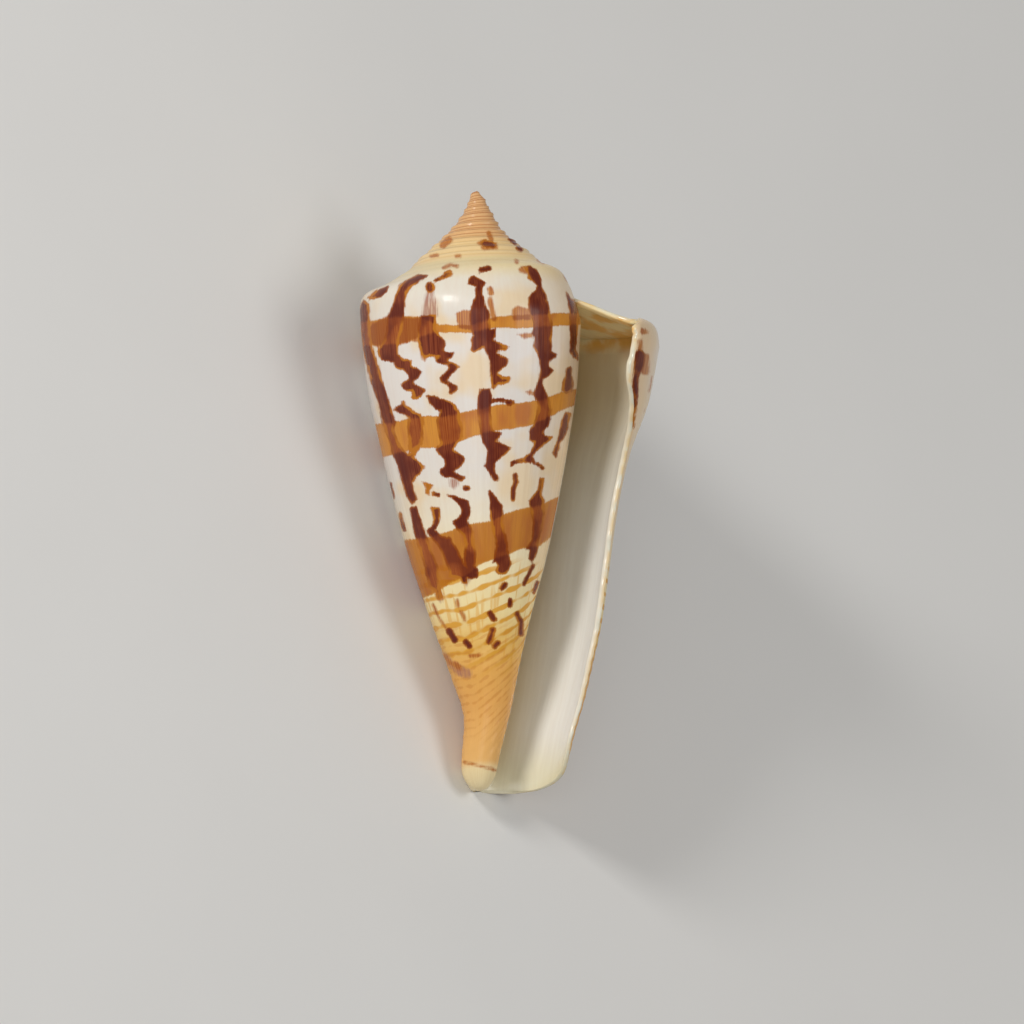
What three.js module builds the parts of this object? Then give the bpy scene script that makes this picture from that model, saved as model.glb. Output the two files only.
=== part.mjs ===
// A cone shell, 70 mm long: a sharp concave spire, a high last whorl and a long narrow aperture.
//
// The shell is one spiral surface. A place on it has two numbers. The first, turn, counts whorls
// of growth: 0 is the right side of the last whorl, where the lip stands, and -1 is one whorl
// earlier. The second, place, runs down the whorl: -1 at the suture, EDGE at the shoulder's edge,
// 0 at the widest line of the whorl and 1 at the front tip. Lengths are millimetres.
import * as THREE from 'three';
import { mergeVertices } from 'three/addons/utils/BufferGeometryUtils.js';

const EDGE = -0.25;
const WHORLS = 10;

// Stages of growth. edge is the [radius, height] of the line that the next whorl's suture follows,
// belly is how far [out, down] from it the whorl is widest, and bulge lifts the ramp's middle and
// lower part, as a part of the ramp's width.
const STAGES = [
  { turn: -10, edge: [0, 70], belly: [0, 0], bulge: 0 },
  { turn: -9, edge: [0.75, 69.3], belly: [0.08, 0.3], bulge: 0 },
  { turn: -8, edge: [1.15, 68.5], belly: [0.12, 0.5], bulge: 0 },
  { turn: -7, edge: [1.6, 67.7], belly: [0.16, 0.7], bulge: 0 },
  { turn: -6, edge: [2.2, 66.6], belly: [0.22, 0.9], bulge: 0 },
  { turn: -5, edge: [3, 65.5], belly: [0.3, 1.2], bulge: 0.02 },
  { turn: -4, edge: [4.1, 64.4], belly: [0.42, 1.7], bulge: 0.03 },
  { turn: -3, edge: [5.4, 63.3], belly: [0.55, 2.2], bulge: 0.04 },
  { turn: -2, edge: [7.1, 61.8], belly: [0.72, 3], bulge: 0.05 },
  { turn: -1.5, edge: [8.3, 60.7], belly: [0.85, 3.4], bulge: 0.05 },
  { turn: -1, edge: [10.85, 57.2], belly: [0.65, 3.2], bulge: 0.34 },
  { turn: -0.5, edge: [12.75, 58.5], belly: [1.3, 3.8], bulge: -0.04 },
  { turn: -0.25, edge: [15, 56.9], belly: [1.4, 3.3], bulge: -0.03 },
  { turn: 0, edge: [19.1, 54.3], belly: [1.45, 2.9], bulge: -0.03 },
  { turn: 0.12, edge: [19.5, 53.6], belly: [1.45, 2.8], bulge: -0.03 },
];

// The side's radius as a part of the widest radius, at places from the widest line to the tip:
// a whorl before the lip, half a whorl before it, and at the lip.
const SIDE_PLACES = [0, 0.12, 0.25, 0.38, 0.5, 0.62, 0.75, 0.86, 0.93, 1];
const SIDE_EARLY = [1, 0.957, 0.857, 0.736, 0.609, 0.45, 0.3, 0.205, 0.165, 0.14];
const SIDE_MIDDLE = [1, 0.957, 0.86, 0.748, 0.629, 0.48, 0.309, 0.187, 0.175, 0.14];
const SIDE_LIP = [1, 0.938, 0.818, 0.744, 0.697, 0.65, 0.575, 0.51, 0.485, 0.46];

// The front end: how far back the siphon's notch stays open, in whorls, over how much growth it
// opens, how high its edge stands, and the place from which the closed tip is rounded.
const NOTCH = { depth: 0.46, opening: 0.22, height: 0.25, roundFrom: 0.965 };

// The ramp's lift is bulge times its width times this times a cubic, t * t * (1 - t).
const LIFT = 8;

// The shoulder's fullness: how strongly it holds its directions, as a part of the belly's reach.
const SHOULDER_PULL = 1.25;

// The lip's edge, in whorls of growth: at the suture, how far its shoulder reaches past that, the
// little it gains along the side, and how far its rounded front corner falls back from a place on.
// The shoulder's reach starts and ends between two pairs of places.
const LIP = {
  suture: 0.02, shoulder: 0.066, side: 0.012, corner: 0.17, cornerFrom: 0.88,
  reachStarts: [-0.45, -0.05], reachEnds: [0.06, 0.27],
};

// The hollow whorl reaches back further at the top than at the notch, in whorls, and it closes on
// the whorl inside it over a part of its length.
const HOLLOW = { extraDepth: 1.1, falloff: 1.3, closesOver: 0.35 };

// The wall: on the side, at the tip, on the ramp as a part of that, in the resorbed inner whorl
// as a part of that, and how much thinner its edge is at the lip. It takes up no more than a part
// of the gap to the whorl inside it. tipFrom and rampTo are places, and the rest are turns.
const WALL = {
  side: 1.15, tipLess: 0.25, ramp: 0.75, inside: 0.45, lipLess: 0.35, gapPart: 0.7,
  tipFrom: 0.55, rampTo: -0.2, thickensFrom: -1.15, thickensTo: -0.5, thinsOver: 0.12,
};

// Turns at which the side's curves change over: early, middle and at the lip.
const SIDE_TURNS = { early: -1, middle: -0.5, lip: 0 };

// The real coil isn't quite straight: the spire and the tip stand a little to the left.
const SPIRE_LEAN = { shift: 0.67, from: 55, to: 70 };
const TIP_LEAN = { shift: 1.05, to: 11 };

// How the shell lies at rest, from standing on its tip: rolled about its axis, then laid down
// until the shoulder and the tip touch the ground. It rests on two spots that are worn flat.
const LYING = { roll: 45, axisRise: 12.75, wornFlat: 0.5 };

const TINY = 1e-9;

const GRID = { earlyRows: 24, lateRows: 20, rampColumns: 3, shoulderColumns: 3, sideColumns: 15 };

const smoothStep = THREE.MathUtils.smoothstep;
const lerp = THREE.MathUtils.lerp;
const clamp = THREE.MathUtils.clamp;

// A smooth curve through hand-set points that never overshoots them.
function monotoneCurve(xs, ys) {
  const steps = xs.slice(1).map((x, i) => x - xs[i]);
  const slopes = steps.map((step, i) => (ys[i + 1] - ys[i]) / step);
  const tangents = ys.map((_, i) => {
    if (i === 0) return slopes[0];
    if (i === ys.length - 1) return slopes[i - 1];
    if (slopes[i - 1] * slopes[i] <= 0) return 0;
    const before = 2 * steps[i] + steps[i - 1];
    const after = steps[i] + 2 * steps[i - 1];
    return (before + after) / (before / slopes[i - 1] + after / slopes[i]);
  });
  return (x) => {
    let i = 0;
    while (i < xs.length - 2 && x > xs[i + 1]) i += 1;
    const t = clamp((x - xs[i]) / steps[i], 0, 1);
    return hermite(t, ys[i], tangents[i] * steps[i], ys[i + 1], tangents[i + 1] * steps[i]);
  };
}

function hermite(t, start, startTangent, end, endTangent) {
  const s = 1 - t;
  return (1 + 2 * t) * s * s * start + t * s * s * startTangent
    + t * t * (3 - 2 * t) * end - t * t * s * endTangent;
}

const turns = STAGES.map((stage) => stage.turn);
const stageCurve = (pick) => monotoneCurve(turns, STAGES.map(pick));
const edgeRadius = stageCurve((stage) => stage.edge[0]);
const edgeHeight = stageCurve((stage) => stage.edge[1]);
const bellyOut = stageCurve((stage) => stage.belly[0]);
const bellyDown = stageCurve((stage) => stage.belly[1]);
const rampBulge = stageCurve((stage) => stage.bulge);
const sideEarly = monotoneCurve(SIDE_PLACES, SIDE_EARLY);
const sideMiddle = monotoneCurve(SIDE_PLACES, SIDE_MIDDLE);
const sideLip = monotoneCurve(SIDE_PLACES, SIDE_LIP);

const edgeAt = (turn) => [edgeRadius(turn), edgeHeight(turn)];

// The ramp runs from the last whorl's edge to this whorl's edge, and its lower part stands out most.
function rampPoint(turn, place) {
  const t = (place + 1) / (EDGE + 1);
  const [r0, z0] = edgeAt(turn - 1);
  const [r1, z1] = edgeAt(turn);
  const lift = LIFT * rampBulge(turn) * (r1 - r0);
  return [lerp(r0, r1, t), lerp(z0, z1, t) + lift * t * t * (1 - t)];
}

// The shoulder turns from the ramp's slope to straight down at the widest line.
function shoulderPoint(turn, place) {
  const t = (place - EDGE) / -EDGE;
  const [r0, z0] = edgeAt(turn - 1);
  const [r1, z1] = edgeAt(turn);
  const out = bellyOut(turn);
  const down = bellyDown(turn);
  const pull = SHOULDER_PULL * Math.hypot(out, down);
  const slope = [r1 - r0, z1 - z0 - LIFT * rampBulge(turn) * (r1 - r0)];
  const scale = pull / (Math.hypot(...slope) + TINY);
  return [
    hermite(t, r1, slope[0] * scale, r1 + out, 0),
    hermite(t, z1, slope[1] * scale, z1 - down, -pull),
  ];
}

// The side narrows to the tip. It is rounded shut there until the notch opens.
function sidePoint(turn, place) {
  const widest = edgeRadius(turn) + bellyOut(turn);
  const top = edgeHeight(turn) - bellyDown(turn);
  const towardsMiddle = smoothStep(turn, SIDE_TURNS.early, SIDE_TURNS.middle);
  const towardsLip = smoothStep(turn, SIDE_TURNS.middle, SIDE_TURNS.lip);
  const older = lerp(Math.log(sideEarly(place)), Math.log(sideMiddle(place)), towardsMiddle);
  const part = Math.exp(lerp(older, Math.log(sideLip(place)), towardsLip));
  const open = smoothStep(turn, -NOTCH.depth, NOTCH.opening - NOTCH.depth);
  const past = clamp((place - NOTCH.roundFrom) / (1 - NOTCH.roundFrom), 0, 1);
  const rounding = 1 - (1 - open) * (1 - Math.sqrt(1 - past * past));
  return [widest * part * rounding, lerp(top, NOTCH.height * open, place)];
}

function profilePoint(turn, place) {
  if (place <= EDGE) return rampPoint(turn, place);
  if (place <= 0) return shoulderPoint(turn, place);
  return sidePoint(turn, place);
}

// Turns a profile point about the axis. Growth runs clockwise seen from the apex.
function coil(turn, [radius, height]) {
  const angle = -2 * Math.PI * turn;
  const lean = -SPIRE_LEAN.shift * smoothStep(height, SPIRE_LEAN.from, SPIRE_LEAN.to)
    - TIP_LEAN.shift * (1 - smoothStep(height, 0, TIP_LEAN.to));
  return new THREE.Vector3(radius * Math.cos(angle) + lean, radius * Math.sin(angle), height);
}

const outside = (turn, place) => coil(turn, profilePoint(turn, place));

function lipTurn(place) {
  const shoulder = smoothStep(place, ...LIP.reachStarts) * (1 - smoothStep(place, ...LIP.reachEnds));
  const past = clamp((place - LIP.cornerFrom) / (1 - LIP.cornerFrom), 0, 1);
  return LIP.suture + LIP.shoulder * shoulder + LIP.side * smoothStep(place, 0, LIP.reachEnds[1])
    - LIP.corner * (1 - Math.sqrt(1 - past * past));
}

function hollowDepth(place) {
  return NOTCH.depth + HOLLOW.extraDepth * (1 - clamp(place, 0, 1)) ** HOLLOW.falloff;
}

function wallThickness(turn, place) {
  const ramp = lerp(WALL.ramp, 1, smoothStep(place, -1, WALL.rampTo));
  const inner = lerp(WALL.inside, 1, smoothStep(turn, WALL.thickensFrom, WALL.thickensTo));
  const lip = 1 - WALL.lipLess * smoothStep(turn - lipTurn(place), -WALL.thinsOver, 0);
  return (WALL.side - WALL.tipLess * smoothStep(place, WALL.tipFrom, 1)) * ramp * inner * lip;
}

// The wall's inner face. closed is 1 where it lies on the whorl inside it and the hollow ends.
function inside(turn, place, closed) {
  const nudge = 0.001;
  const [r, z] = profilePoint(turn, place);
  const [ra, za] = profilePoint(turn, Math.max(place - nudge, -1));
  const [rb, zb] = profilePoint(turn, Math.min(place + nudge, 1));
  const along = Math.hypot(rb - ra, zb - za) + TINY;
  const core = profilePoint(turn - 1, Math.max(place, 0));
  const gap = Math.hypot(r - core[0], z - core[1]);
  const wall = Math.min(wallThickness(turn, place), WALL.gapPart * gap);
  const face = [r + (wall * (zb - za)) / along, z - (wall * (rb - ra)) / along];
  return coil(turn, [lerp(face[0], core[0], closed), lerp(face[1], core[1], closed)]);
}

const steps = (count, from, to) => Array.from({ length: count + 1 }, (_, i) => lerp(from, to, i / count));

// Columns down the whorl, closer together towards the tip.
const rampPlaces = steps(GRID.rampColumns, -1, EDGE);
const shoulderPlaces = steps(GRID.shoulderColumns, EDGE, 0);
const sidePlaces = steps(GRID.sideColumns, 0, 1).map((t) => lerp(t, Math.sin((t * Math.PI) / 2), 0.5));
const allPlaces = [...rampPlaces.slice(0, -1), ...shoulderPlaces.slice(0, -1), ...sidePlaces];

// Rows of the last whorl: evenly spaced up to the notch, then stretched to end on the lip's edge.
const earlyTurns = steps(GRID.earlyRows, LIP.suture - 1, -NOTCH.depth).slice(0, -1);
const lateParts = steps(GRID.lateRows, 0, 1);
const rowTurns = [...earlyTurns, ...lateParts.map((t) => lerp(-NOTCH.depth, LIP.suture, t))];

const corners = [];
const MERGE_WITHIN = 0.0001;

// Adds a sheet of triangles over a grid of points, rows by columns.
function addSheet(rows, flipped = false) {
  for (let i = 0; i + 1 < rows.length; i += 1) {
    for (let j = 0; j + 1 < rows[i].length; j += 1) {
      const [a, b, c, d] = [rows[i][j], rows[i + 1][j], rows[i + 1][j + 1], rows[i][j + 1]];
      corners.push(...(flipped ? [c, b, a, d, c, a] : [a, b, c, a, c, d]));
    }
  }
}

const transpose = (rows) => rows[0].map((_, j) => rows.map((row) => row[j]));

// The spire: only the ramp of each older whorl shows.
function addSpire() {
  for (let whorl = 1; whorl <= WHORLS; whorl += 1) {
    const turnsHere = rowTurns.map((turn) => Math.max(turn - whorl, -WHORLS));
    addSheet(turnsHere.map((turn) => rampPlaces.map((place) => outside(turn, place))));
  }
}

function lastWhorlRows() {
  const early = earlyTurns.map((turn) => allPlaces.map((place) => outside(turn, place)));
  const late = lateParts.map((t) => allPlaces.map(
    (place) => outside(lerp(-NOTCH.depth, lipTurn(place), t), place),
  ));
  return [...early, ...late];
}

// The wall's inner face, from the closed end of the hollow to the lip.
function innerRows() {
  return lateParts.map((t) => {
    const closed = 1 - smoothStep(t, 0, HOLLOW.closesOver);
    return allPlaces.map((place) => inside(lerp(-hollowDepth(place), lipTurn(place), t), place, closed));
  });
}

// The face of the whorl inside the hollow, up to where it comes out beside the aperture.
function coreRows() {
  return lateParts.map((t) => sidePlaces.map(
    (place) => outside(lerp(-hollowDepth(place), LIP.suture, t) - 1, place),
  ));
}

function addLastWhorl() {
  const outer = lastWhorlRows();
  const inner = innerRows();
  const core = coreRows();
  const lipOuter = outer.at(-1);
  const lipInner = inner.at(-1);
  const lateOuter = outer.slice(-lateParts.length);
  addSheet(outer);
  addSheet(inner, true);
  addSheet(core);
  addSheet(transpose([inner.map((row) => row[0]), core.map((row) => row[0])]));
  addSheet([lipOuter, lipInner]);
  addSheet(transpose([lateOuter.map((row) => row.at(-1)), inner.map((row) => row.at(-1))]));
  const join = shoulderPlaces.map((place) => outside(LIP.suture - 1, place));
  addSheet([join.map(() => lipInner[0]), join]);
}

// One closed surface: points that meet become one, and triangles without area go.
function closedGeometry() {
  const loose = new THREE.BufferGeometry().setFromPoints(corners);
  const merged = mergeVertices(loose, MERGE_WITHIN);
  const index = merged.getIndex().array;
  const kept = [];
  for (let i = 0; i < index.length; i += 3) {
    const [a, b, c] = [index[i], index[i + 1], index[i + 2]];
    if (a !== b && b !== c && c !== a) kept.push(a, b, c);
  }
  merged.setIndex(kept);
  return merged;
}

// Lays the shell down: up is the direction in the standing shell that ends up vertical.
function lyingTurn() {
  const roll = THREE.MathUtils.degToRad(LYING.roll);
  const rise = THREE.MathUtils.degToRad(LYING.axisRise);
  const flat = Math.cos(rise);
  const up = new THREE.Vector3(flat * Math.sin(roll), -flat * Math.cos(roll), Math.sin(rise));
  const toTip = new THREE.Vector3(0, 0, -1).addScaledVector(up, up.z).normalize();
  const side = new THREE.Vector3().crossVectors(up, toTip);
  return new THREE.Matrix4().makeBasis(toTip, side, up).transpose();
}

// Sets the shell on the ground, centred on the origin, and flattens the spots that it rests on.
function setDown(geometry) {
  geometry.computeBoundingBox();
  const middle = geometry.boundingBox.getCenter(new THREE.Vector3());
  geometry.translate(-middle.x, -middle.y, -geometry.boundingBox.min.z - LYING.wornFlat);
  const points = geometry.getAttribute('position');
  for (let i = 0; i < points.count; i += 1) points.setZ(i, Math.max(points.getZ(i), 0));
}

addSpire();
addLastWhorl();
const geometry = closedGeometry().applyMatrix4(lyingTurn());
setDown(geometry);
geometry.computeVertexNormals();

const porcelain = new THREE.MeshStandardMaterial({ color: 0xe8cfa8, roughness: 0.32, metalness: 0 });
porcelain.name = 'shell';
const shell = new THREE.Mesh(geometry, porcelain);
shell.name = 'shell';

const coneShell = new THREE.Group();
coneShell.name = 'cone_shell';
coneShell.add(shell);

export default coneShell;
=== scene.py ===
"""A cone shell, lying at rest with its aperture turned up.

The shell is one spiral surface. A place on it has two numbers: turn counts whorls of growth, 0 at
the lip and -1 one whorl earlier, and place runs down a whorl, -1 at the suture, EDGE at the
shoulder's edge, 0 at the widest line and 1 at the front tip. The shape is worked out standing on
its tip, in millimetres, and then laid down in the frame's metres.
"""

import logging
from collections.abc import Iterable
from dataclasses import dataclass, field
from enum import Enum

import bpy
import numpy as np
from mathutils import Matrix, Vector

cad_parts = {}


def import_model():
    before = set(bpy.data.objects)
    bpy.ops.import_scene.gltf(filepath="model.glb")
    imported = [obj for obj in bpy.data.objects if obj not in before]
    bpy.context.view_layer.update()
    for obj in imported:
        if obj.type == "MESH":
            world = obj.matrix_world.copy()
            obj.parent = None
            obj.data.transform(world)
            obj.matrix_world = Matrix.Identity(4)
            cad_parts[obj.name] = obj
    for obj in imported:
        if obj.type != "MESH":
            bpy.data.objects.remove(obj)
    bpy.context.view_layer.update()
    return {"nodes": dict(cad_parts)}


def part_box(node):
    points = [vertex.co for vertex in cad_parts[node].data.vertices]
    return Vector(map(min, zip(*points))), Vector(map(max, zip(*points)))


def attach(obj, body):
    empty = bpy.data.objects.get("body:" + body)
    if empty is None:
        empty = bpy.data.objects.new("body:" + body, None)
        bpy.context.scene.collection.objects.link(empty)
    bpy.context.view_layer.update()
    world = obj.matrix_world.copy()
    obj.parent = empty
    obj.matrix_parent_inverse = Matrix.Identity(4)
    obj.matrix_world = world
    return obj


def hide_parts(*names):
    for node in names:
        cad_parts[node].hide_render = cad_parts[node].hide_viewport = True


LOG = logging.getLogger("cone_shell")

NODE = "shell"
BODY = "root"
METRE = 0.001
EDGE = -0.25
WHORLS = 10
LIFT = 8
FAR = 1e9
TINY = 1e-9
WELD_STEPS = 1e4
DEEPEST = 9.0

Array = np.ndarray
Colour = tuple[float, float, float, float]
Points = tuple[tuple[float, float], ...]
Socket = bpy.types.NodeSocket
Stops = tuple[tuple[float, str], ...]


def smooth(low: float, high: float, value: Array | float) -> Array:
    """The smooth step from 0 at low to 1 at high, 3t^2 - 2t^3.

    Args:
        low: value at which the step starts.
        high: value at which it is complete.
        value: values to step.

    Returns:
        The step's height at each value.
    """
    t = np.clip((np.asarray(value, float) - low) / (high - low), 0, 1)
    return t * t * (3 - 2 * t)


def hermite(t: Array, start: Array, start_slope: Array, end: Array, end_slope: Array) -> Array:
    """The cubic between two values with given slopes at its ends.

    Args:
        t: place between the ends, 0 to 1.
        start: value at 0.
        start_slope: slope at 0.
        end: value at 1.
        end_slope: slope at 1.

    Returns:
        The cubic's value at t.
    """
    s = 1 - t
    rise = t * t * (3 - 2 * t)
    return (1 - rise) * start + t * s * s * start_slope + rise * end - t * t * s * end_slope


def colour(code: str) -> Colour:
    """A colour for a shader socket.

    Args:
        code: six hexadecimal digits as seen on a screen.

    Returns:
        The colour as linear light, with full alpha.
    """
    seen = np.array([int(code[i:i + 2], 16) for i in (0, 2, 4)]) / 255
    linear = np.where(seen <= 0.04045, seen / 12.92, ((seen + 0.055) / 1.055) ** 2.4)
    return (*map(float, linear), 1.0)


@dataclass(frozen=True)
class Curve:
    """A smooth curve through given points that never overshoots them.

    Attributes:
        at: the points' places, rising.
        values: the points' values.
    """

    at: tuple[float, ...]
    values: tuple[float, ...]

    def __call__(self, x: Array) -> Array:
        """The curve's value: cubics whose slopes are harmonic means of the neighbouring chords.

        Args:
            x: places to read.

        Returns:
            The curve's value at each place, held level beyond the ends.
        """
        at = np.asarray(self.at, float)
        values = np.asarray(self.values, float)
        step = np.diff(at)
        chord = np.diff(values) / step
        slope = np.zeros_like(values)
        slope[0], slope[-1] = chord[0], chord[-1]
        before = 2 * step[1:] + step[:-1]
        after = step[1:] + 2 * step[:-1]
        same = chord[:-1] * chord[1:] > 0
        first = np.where(same, chord[:-1], 1)
        second = np.where(same, chord[1:], 1)
        slope[1:-1] = np.where(same, (before + after) / (before / first + after / second), 0)
        i = np.clip(np.searchsorted(at, x) - 1, 0, len(at) - 2)
        t = np.clip((x - at[i]) / step[i], 0, 1)
        return hermite(t, values[i], slope[i] * step[i], values[i + 1], slope[i + 1] * step[i])


@dataclass(frozen=True)
class Stage:
    """One stage of growth.

    Attributes:
        turn: whorls of growth at which it stands.
        radius: radius of the line that the next whorl's suture follows, in millimetres.
        height: height of that line.
        out: how much further out the whorl's widest line lies.
        down: how far below the edge the widest line lies.
        bulge: lift of the ramp's middle and lower part, as a part of the ramp's width.
    """

    turn: float
    radius: float
    height: float
    out: float
    down: float
    bulge: float


STAGES = (
    Stage(-10, 0, 70.25, 0, 0, 0),
    Stage(-9.5, 0.62, 70, 0.05, 0.2, 0),
    Stage(-9, 0.86, 69.35, 0.08, 0.3, 0),
    Stage(-8, 1.15, 68.5, 0.12, 0.5, 0),
    Stage(-7, 1.6, 67.7, 0.16, 0.7, 0),
    Stage(-6, 2.2, 66.6, 0.22, 0.9, 0),
    Stage(-5, 3, 65.5, 0.3, 1.2, 0.02),
    Stage(-4, 4.1, 64.4, 0.42, 1.7, 0.03),
    Stage(-3, 5.4, 63.3, 0.55, 2.2, 0.04),
    Stage(-2, 7.1, 61.8, 0.72, 3, 0.05),
    Stage(-1.5, 8.3, 60.7, 0.85, 3.4, 0.05),
    Stage(-1, 10.85, 57.2, 0.65, 3.2, 0.34),
    Stage(-0.5, 12.75, 58.5, 1.3, 3.8, -0.04),
    Stage(-0.25, 15, 56.9, 1.4, 3.3, -0.03),
    Stage(0, 19.1, 54.3, 1.45, 2.9, -0.03),
    Stage(0.12, 19.5, 53.6, 1.45, 2.8, -0.03),
)


def stage_curve(name: str) -> Curve:
    """The curve of one size over growth.

    Args:
        name: the size's field in Stage.

    Returns:
        The curve through the stages.
    """
    return Curve(tuple(s.turn for s in STAGES), tuple(getattr(s, name) for s in STAGES))


@dataclass(frozen=True)
class Coil:
    """The shell's outer and inner surfaces, standing on the tip, in millimetres.

    Attributes:
        side_places: places at which the side's radius is set, from the widest line to the tip.
        side_early: the side's radius a whorl before the lip, as a part of the widest radius.
        side_middle: the same half a whorl before the lip.
        side_lip: the same at the lip.
        notch_depth: how far back the siphon's notch stays open, in whorls.
        notch_opening: growth over which it opens.
        notch_height: height of its edge.
        round_from: place from which the closed tip is rounded.
        lip_suture: the lip's turn at the suture.
        lip_shoulder: how far its shoulder reaches past that.
        lip_side: the little that it gains along the side.
        lip_corner: how far its rounded front corner falls back.
        corner_from: place from which it falls back.
        chips: size of the small breaks along its edge, in whorls.
        extra_depth: how much further back the hollow reaches at the top, in whorls.
        wall: the wall's thickness on the side, in millimetres.
        tip_thinning: how much thinner it is at the tip.
        ramp_wall: the ramp's wall, as a part of the side's.
        inner_wall: the inner whorl's wall, as a part of the last whorl's.
        lip_wall: the wall at the lip, as a part of the wall behind it.
        shoulder_pull: how strongly the shoulder holds its end slopes, as a part of its own size.
        spire_lean: how far the spire leans left, in millimetres.
        tip_lean: how far the front tip leans left.
        apex_back: how far the apex leans back to the right.
        chip_waves: waves of the lip's small breaks, over the whorl's width.
    """

    side_places: tuple[float, ...] = (0, 0.12, 0.25, 0.38, 0.5, 0.62, 0.75, 0.86, 0.93, 1)
    side_early: tuple[float, ...] = (1, 0.957, 0.857, 0.736, 0.609, 0.45, 0.3, 0.205, 0.165, 0.14)
    side_middle: tuple[float, ...] = (1, 0.957, 0.86, 0.748, 0.629, 0.48, 0.309, 0.187, 0.175, 0.14)
    side_lip: tuple[float, ...] = (1, 0.938, 0.818, 0.744, 0.697, 0.65, 0.575, 0.51, 0.485, 0.46)
    notch_depth: float = 0.46
    notch_opening: float = 0.22
    notch_height: float = 0.25
    round_from: float = 0.95
    lip_suture: float = 0.02
    lip_shoulder: float = 0.066
    lip_side: float = 0.012
    lip_corner: float = 0.17
    corner_from: float = 0.88
    chips: float = 0.0011
    extra_depth: float = 1.1
    wall: float = 1.15
    tip_thinning: float = 0.25
    ramp_wall: float = 0.75
    inner_wall: float = 0.45
    lip_wall: float = 0.55
    shoulder_pull: float = 1.25
    spire_lean: float = 0.67
    tip_lean: float = 1.05
    apex_back: float = 0.4
    chip_waves: tuple[int, ...] = (37, 71, 113, 167, 229)

    def edge(self, turn: Array) -> tuple[Array, Array]:
        """Radius and height of the line that the next whorl's suture follows."""
        return stage_curve("radius")(turn), stage_curve("height")(turn)

    def ramp(self, turn: Array, place: Array) -> tuple[Array, Array]:
        """The ramp: a straight run from the last whorl's edge to this one's, lifted in its lower part.

        Args:
            turn: growth.
            place: place, -1 to EDGE.

        Returns:
            Radius and height.
        """
        t = np.clip((place + 1) / (EDGE + 1), 0, 1)
        r0, z0 = self.edge(turn - 1)
        r1, z1 = self.edge(turn)
        lift = stage_curve("bulge")(turn) * (r1 - r0) * LIFT * t * t * (1 - t)
        return r0 + (r1 - r0) * t, z0 + (z1 - z0) * t + lift

    def shoulder(self, turn: Array, place: Array) -> tuple[Array, Array]:
        """The shoulder: a cubic from the ramp's slope at the edge to straight down at the widest line.

        Args:
            turn: growth.
            place: place, EDGE to 0.

        Returns:
            Radius and height.
        """
        t = np.clip((place - EDGE) / -EDGE, 0, 1)
        r0, z0 = self.edge(turn - 1)
        r1, z1 = self.edge(turn)
        out = stage_curve("out")(turn)
        down = stage_curve("down")(turn)
        pull = self.shoulder_pull * np.hypot(out, down)
        run = r1 - r0
        drop = z1 - z0 - LIFT * stage_curve("bulge")(turn) * run
        scale = pull / (np.hypot(run, drop) + TINY)
        return (hermite(t, r1, run * scale, r1 + out, 0),
                hermite(t, z1, drop * scale, z1 - down, -pull))

    def side(self, turn: Array, place: Array) -> tuple[Array, Array]:
        """The side: height falls evenly to the tip, and radius is the widest radius times a part.

        The part's logarithm blends from the early curve through the middle one to the lip's as
        growth goes on. At the tip the radius closes like a quarter circle until the notch opens.

        Args:
            turn: growth.
            place: place, 0 to 1.

        Returns:
            Radius and height.
        """
        place = np.clip(place, 0, 1)
        r, z = self.edge(turn)
        early, middle, lip = (np.log(Curve(self.side_places, values)(place))
                              for values in (self.side_early, self.side_middle, self.side_lip))
        older = early + (middle - early) * smooth(-1, -0.5, turn)
        part = np.exp(older + (lip - older) * smooth(-0.5, 0, turn))
        opened = smooth(-self.notch_depth, self.notch_opening - self.notch_depth, turn)
        past = np.clip((place - self.round_from) / (1 - self.round_from), 0, 1)
        rounding = 1 - (1 - opened) * (1 - np.sqrt(1 - past * past))
        top = z - stage_curve("down")(turn)
        height = top + (self.notch_height * opened - top) * place
        return (r + stage_curve("out")(turn)) * part * rounding, height

    def profile(self, turn: Array, place: Array) -> tuple[Array, Array]:
        """Radius and height of the outer surface: ramp, shoulder or side by the place.

        Args:
            turn: growth.
            place: place, -1 to 1.

        Returns:
            Radius and height.
        """
        turn, place = np.broadcast_arrays(np.asarray(turn, float), np.asarray(place, float))
        parts = [shape(turn, place) for shape in (self.ramp, self.shoulder, self.side)]
        where = [place <= EDGE, place <= 0]
        return (np.select(where, [parts[0][0], parts[1][0]], parts[2][0]),
                np.select(where, [parts[0][1], parts[1][1]], parts[2][1]))

    def inward(self, turn: Array, place: Array) -> tuple[Array, Array]:
        """The profile's inward normal: the slope between two near places, turned a quarter.

        Args:
            turn: growth.
            place: place.

        Returns:
            The normal's radius and height parts.
        """
        nudge = 1e-3
        ra, za = self.profile(turn, np.maximum(place - nudge, -1))
        rb, zb = self.profile(turn, np.minimum(place + nudge, 1))
        along = np.hypot(rb - ra, zb - za) + TINY
        return (zb - za) / along, -(rb - ra) / along

    def coil(self, turn: Array, radius: Array, height: Array) -> Array:
        """Turns a profile about the axis, clockwise from above, leaning the spire and tip left.

        Args:
            turn: growth.
            radius: distance from the axis.
            height: height.

        Returns:
            Points, with a last axis of three.
        """
        angle = -2 * np.pi * turn
        lean = -self.spire_lean * smooth(55, 70, height) - self.tip_lean * (1 - smooth(0, 11, height))
        lean = lean + self.apex_back * smooth(64.5, 68, height)
        return np.stack([radius * np.cos(angle) + lean, radius * np.sin(angle), height + 0 * angle], -1)

    def outside(self, turn: Array, place: Array, raised: Array | float = 0.0) -> Array:
        """Points of the outer surface, raised along its normal."""
        r, z = self.profile(turn, place)
        nr, nz = self.inward(turn, place)
        return self.coil(np.broadcast_to(turn, r.shape), r - nr * raised, z - nz * raised)

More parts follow.
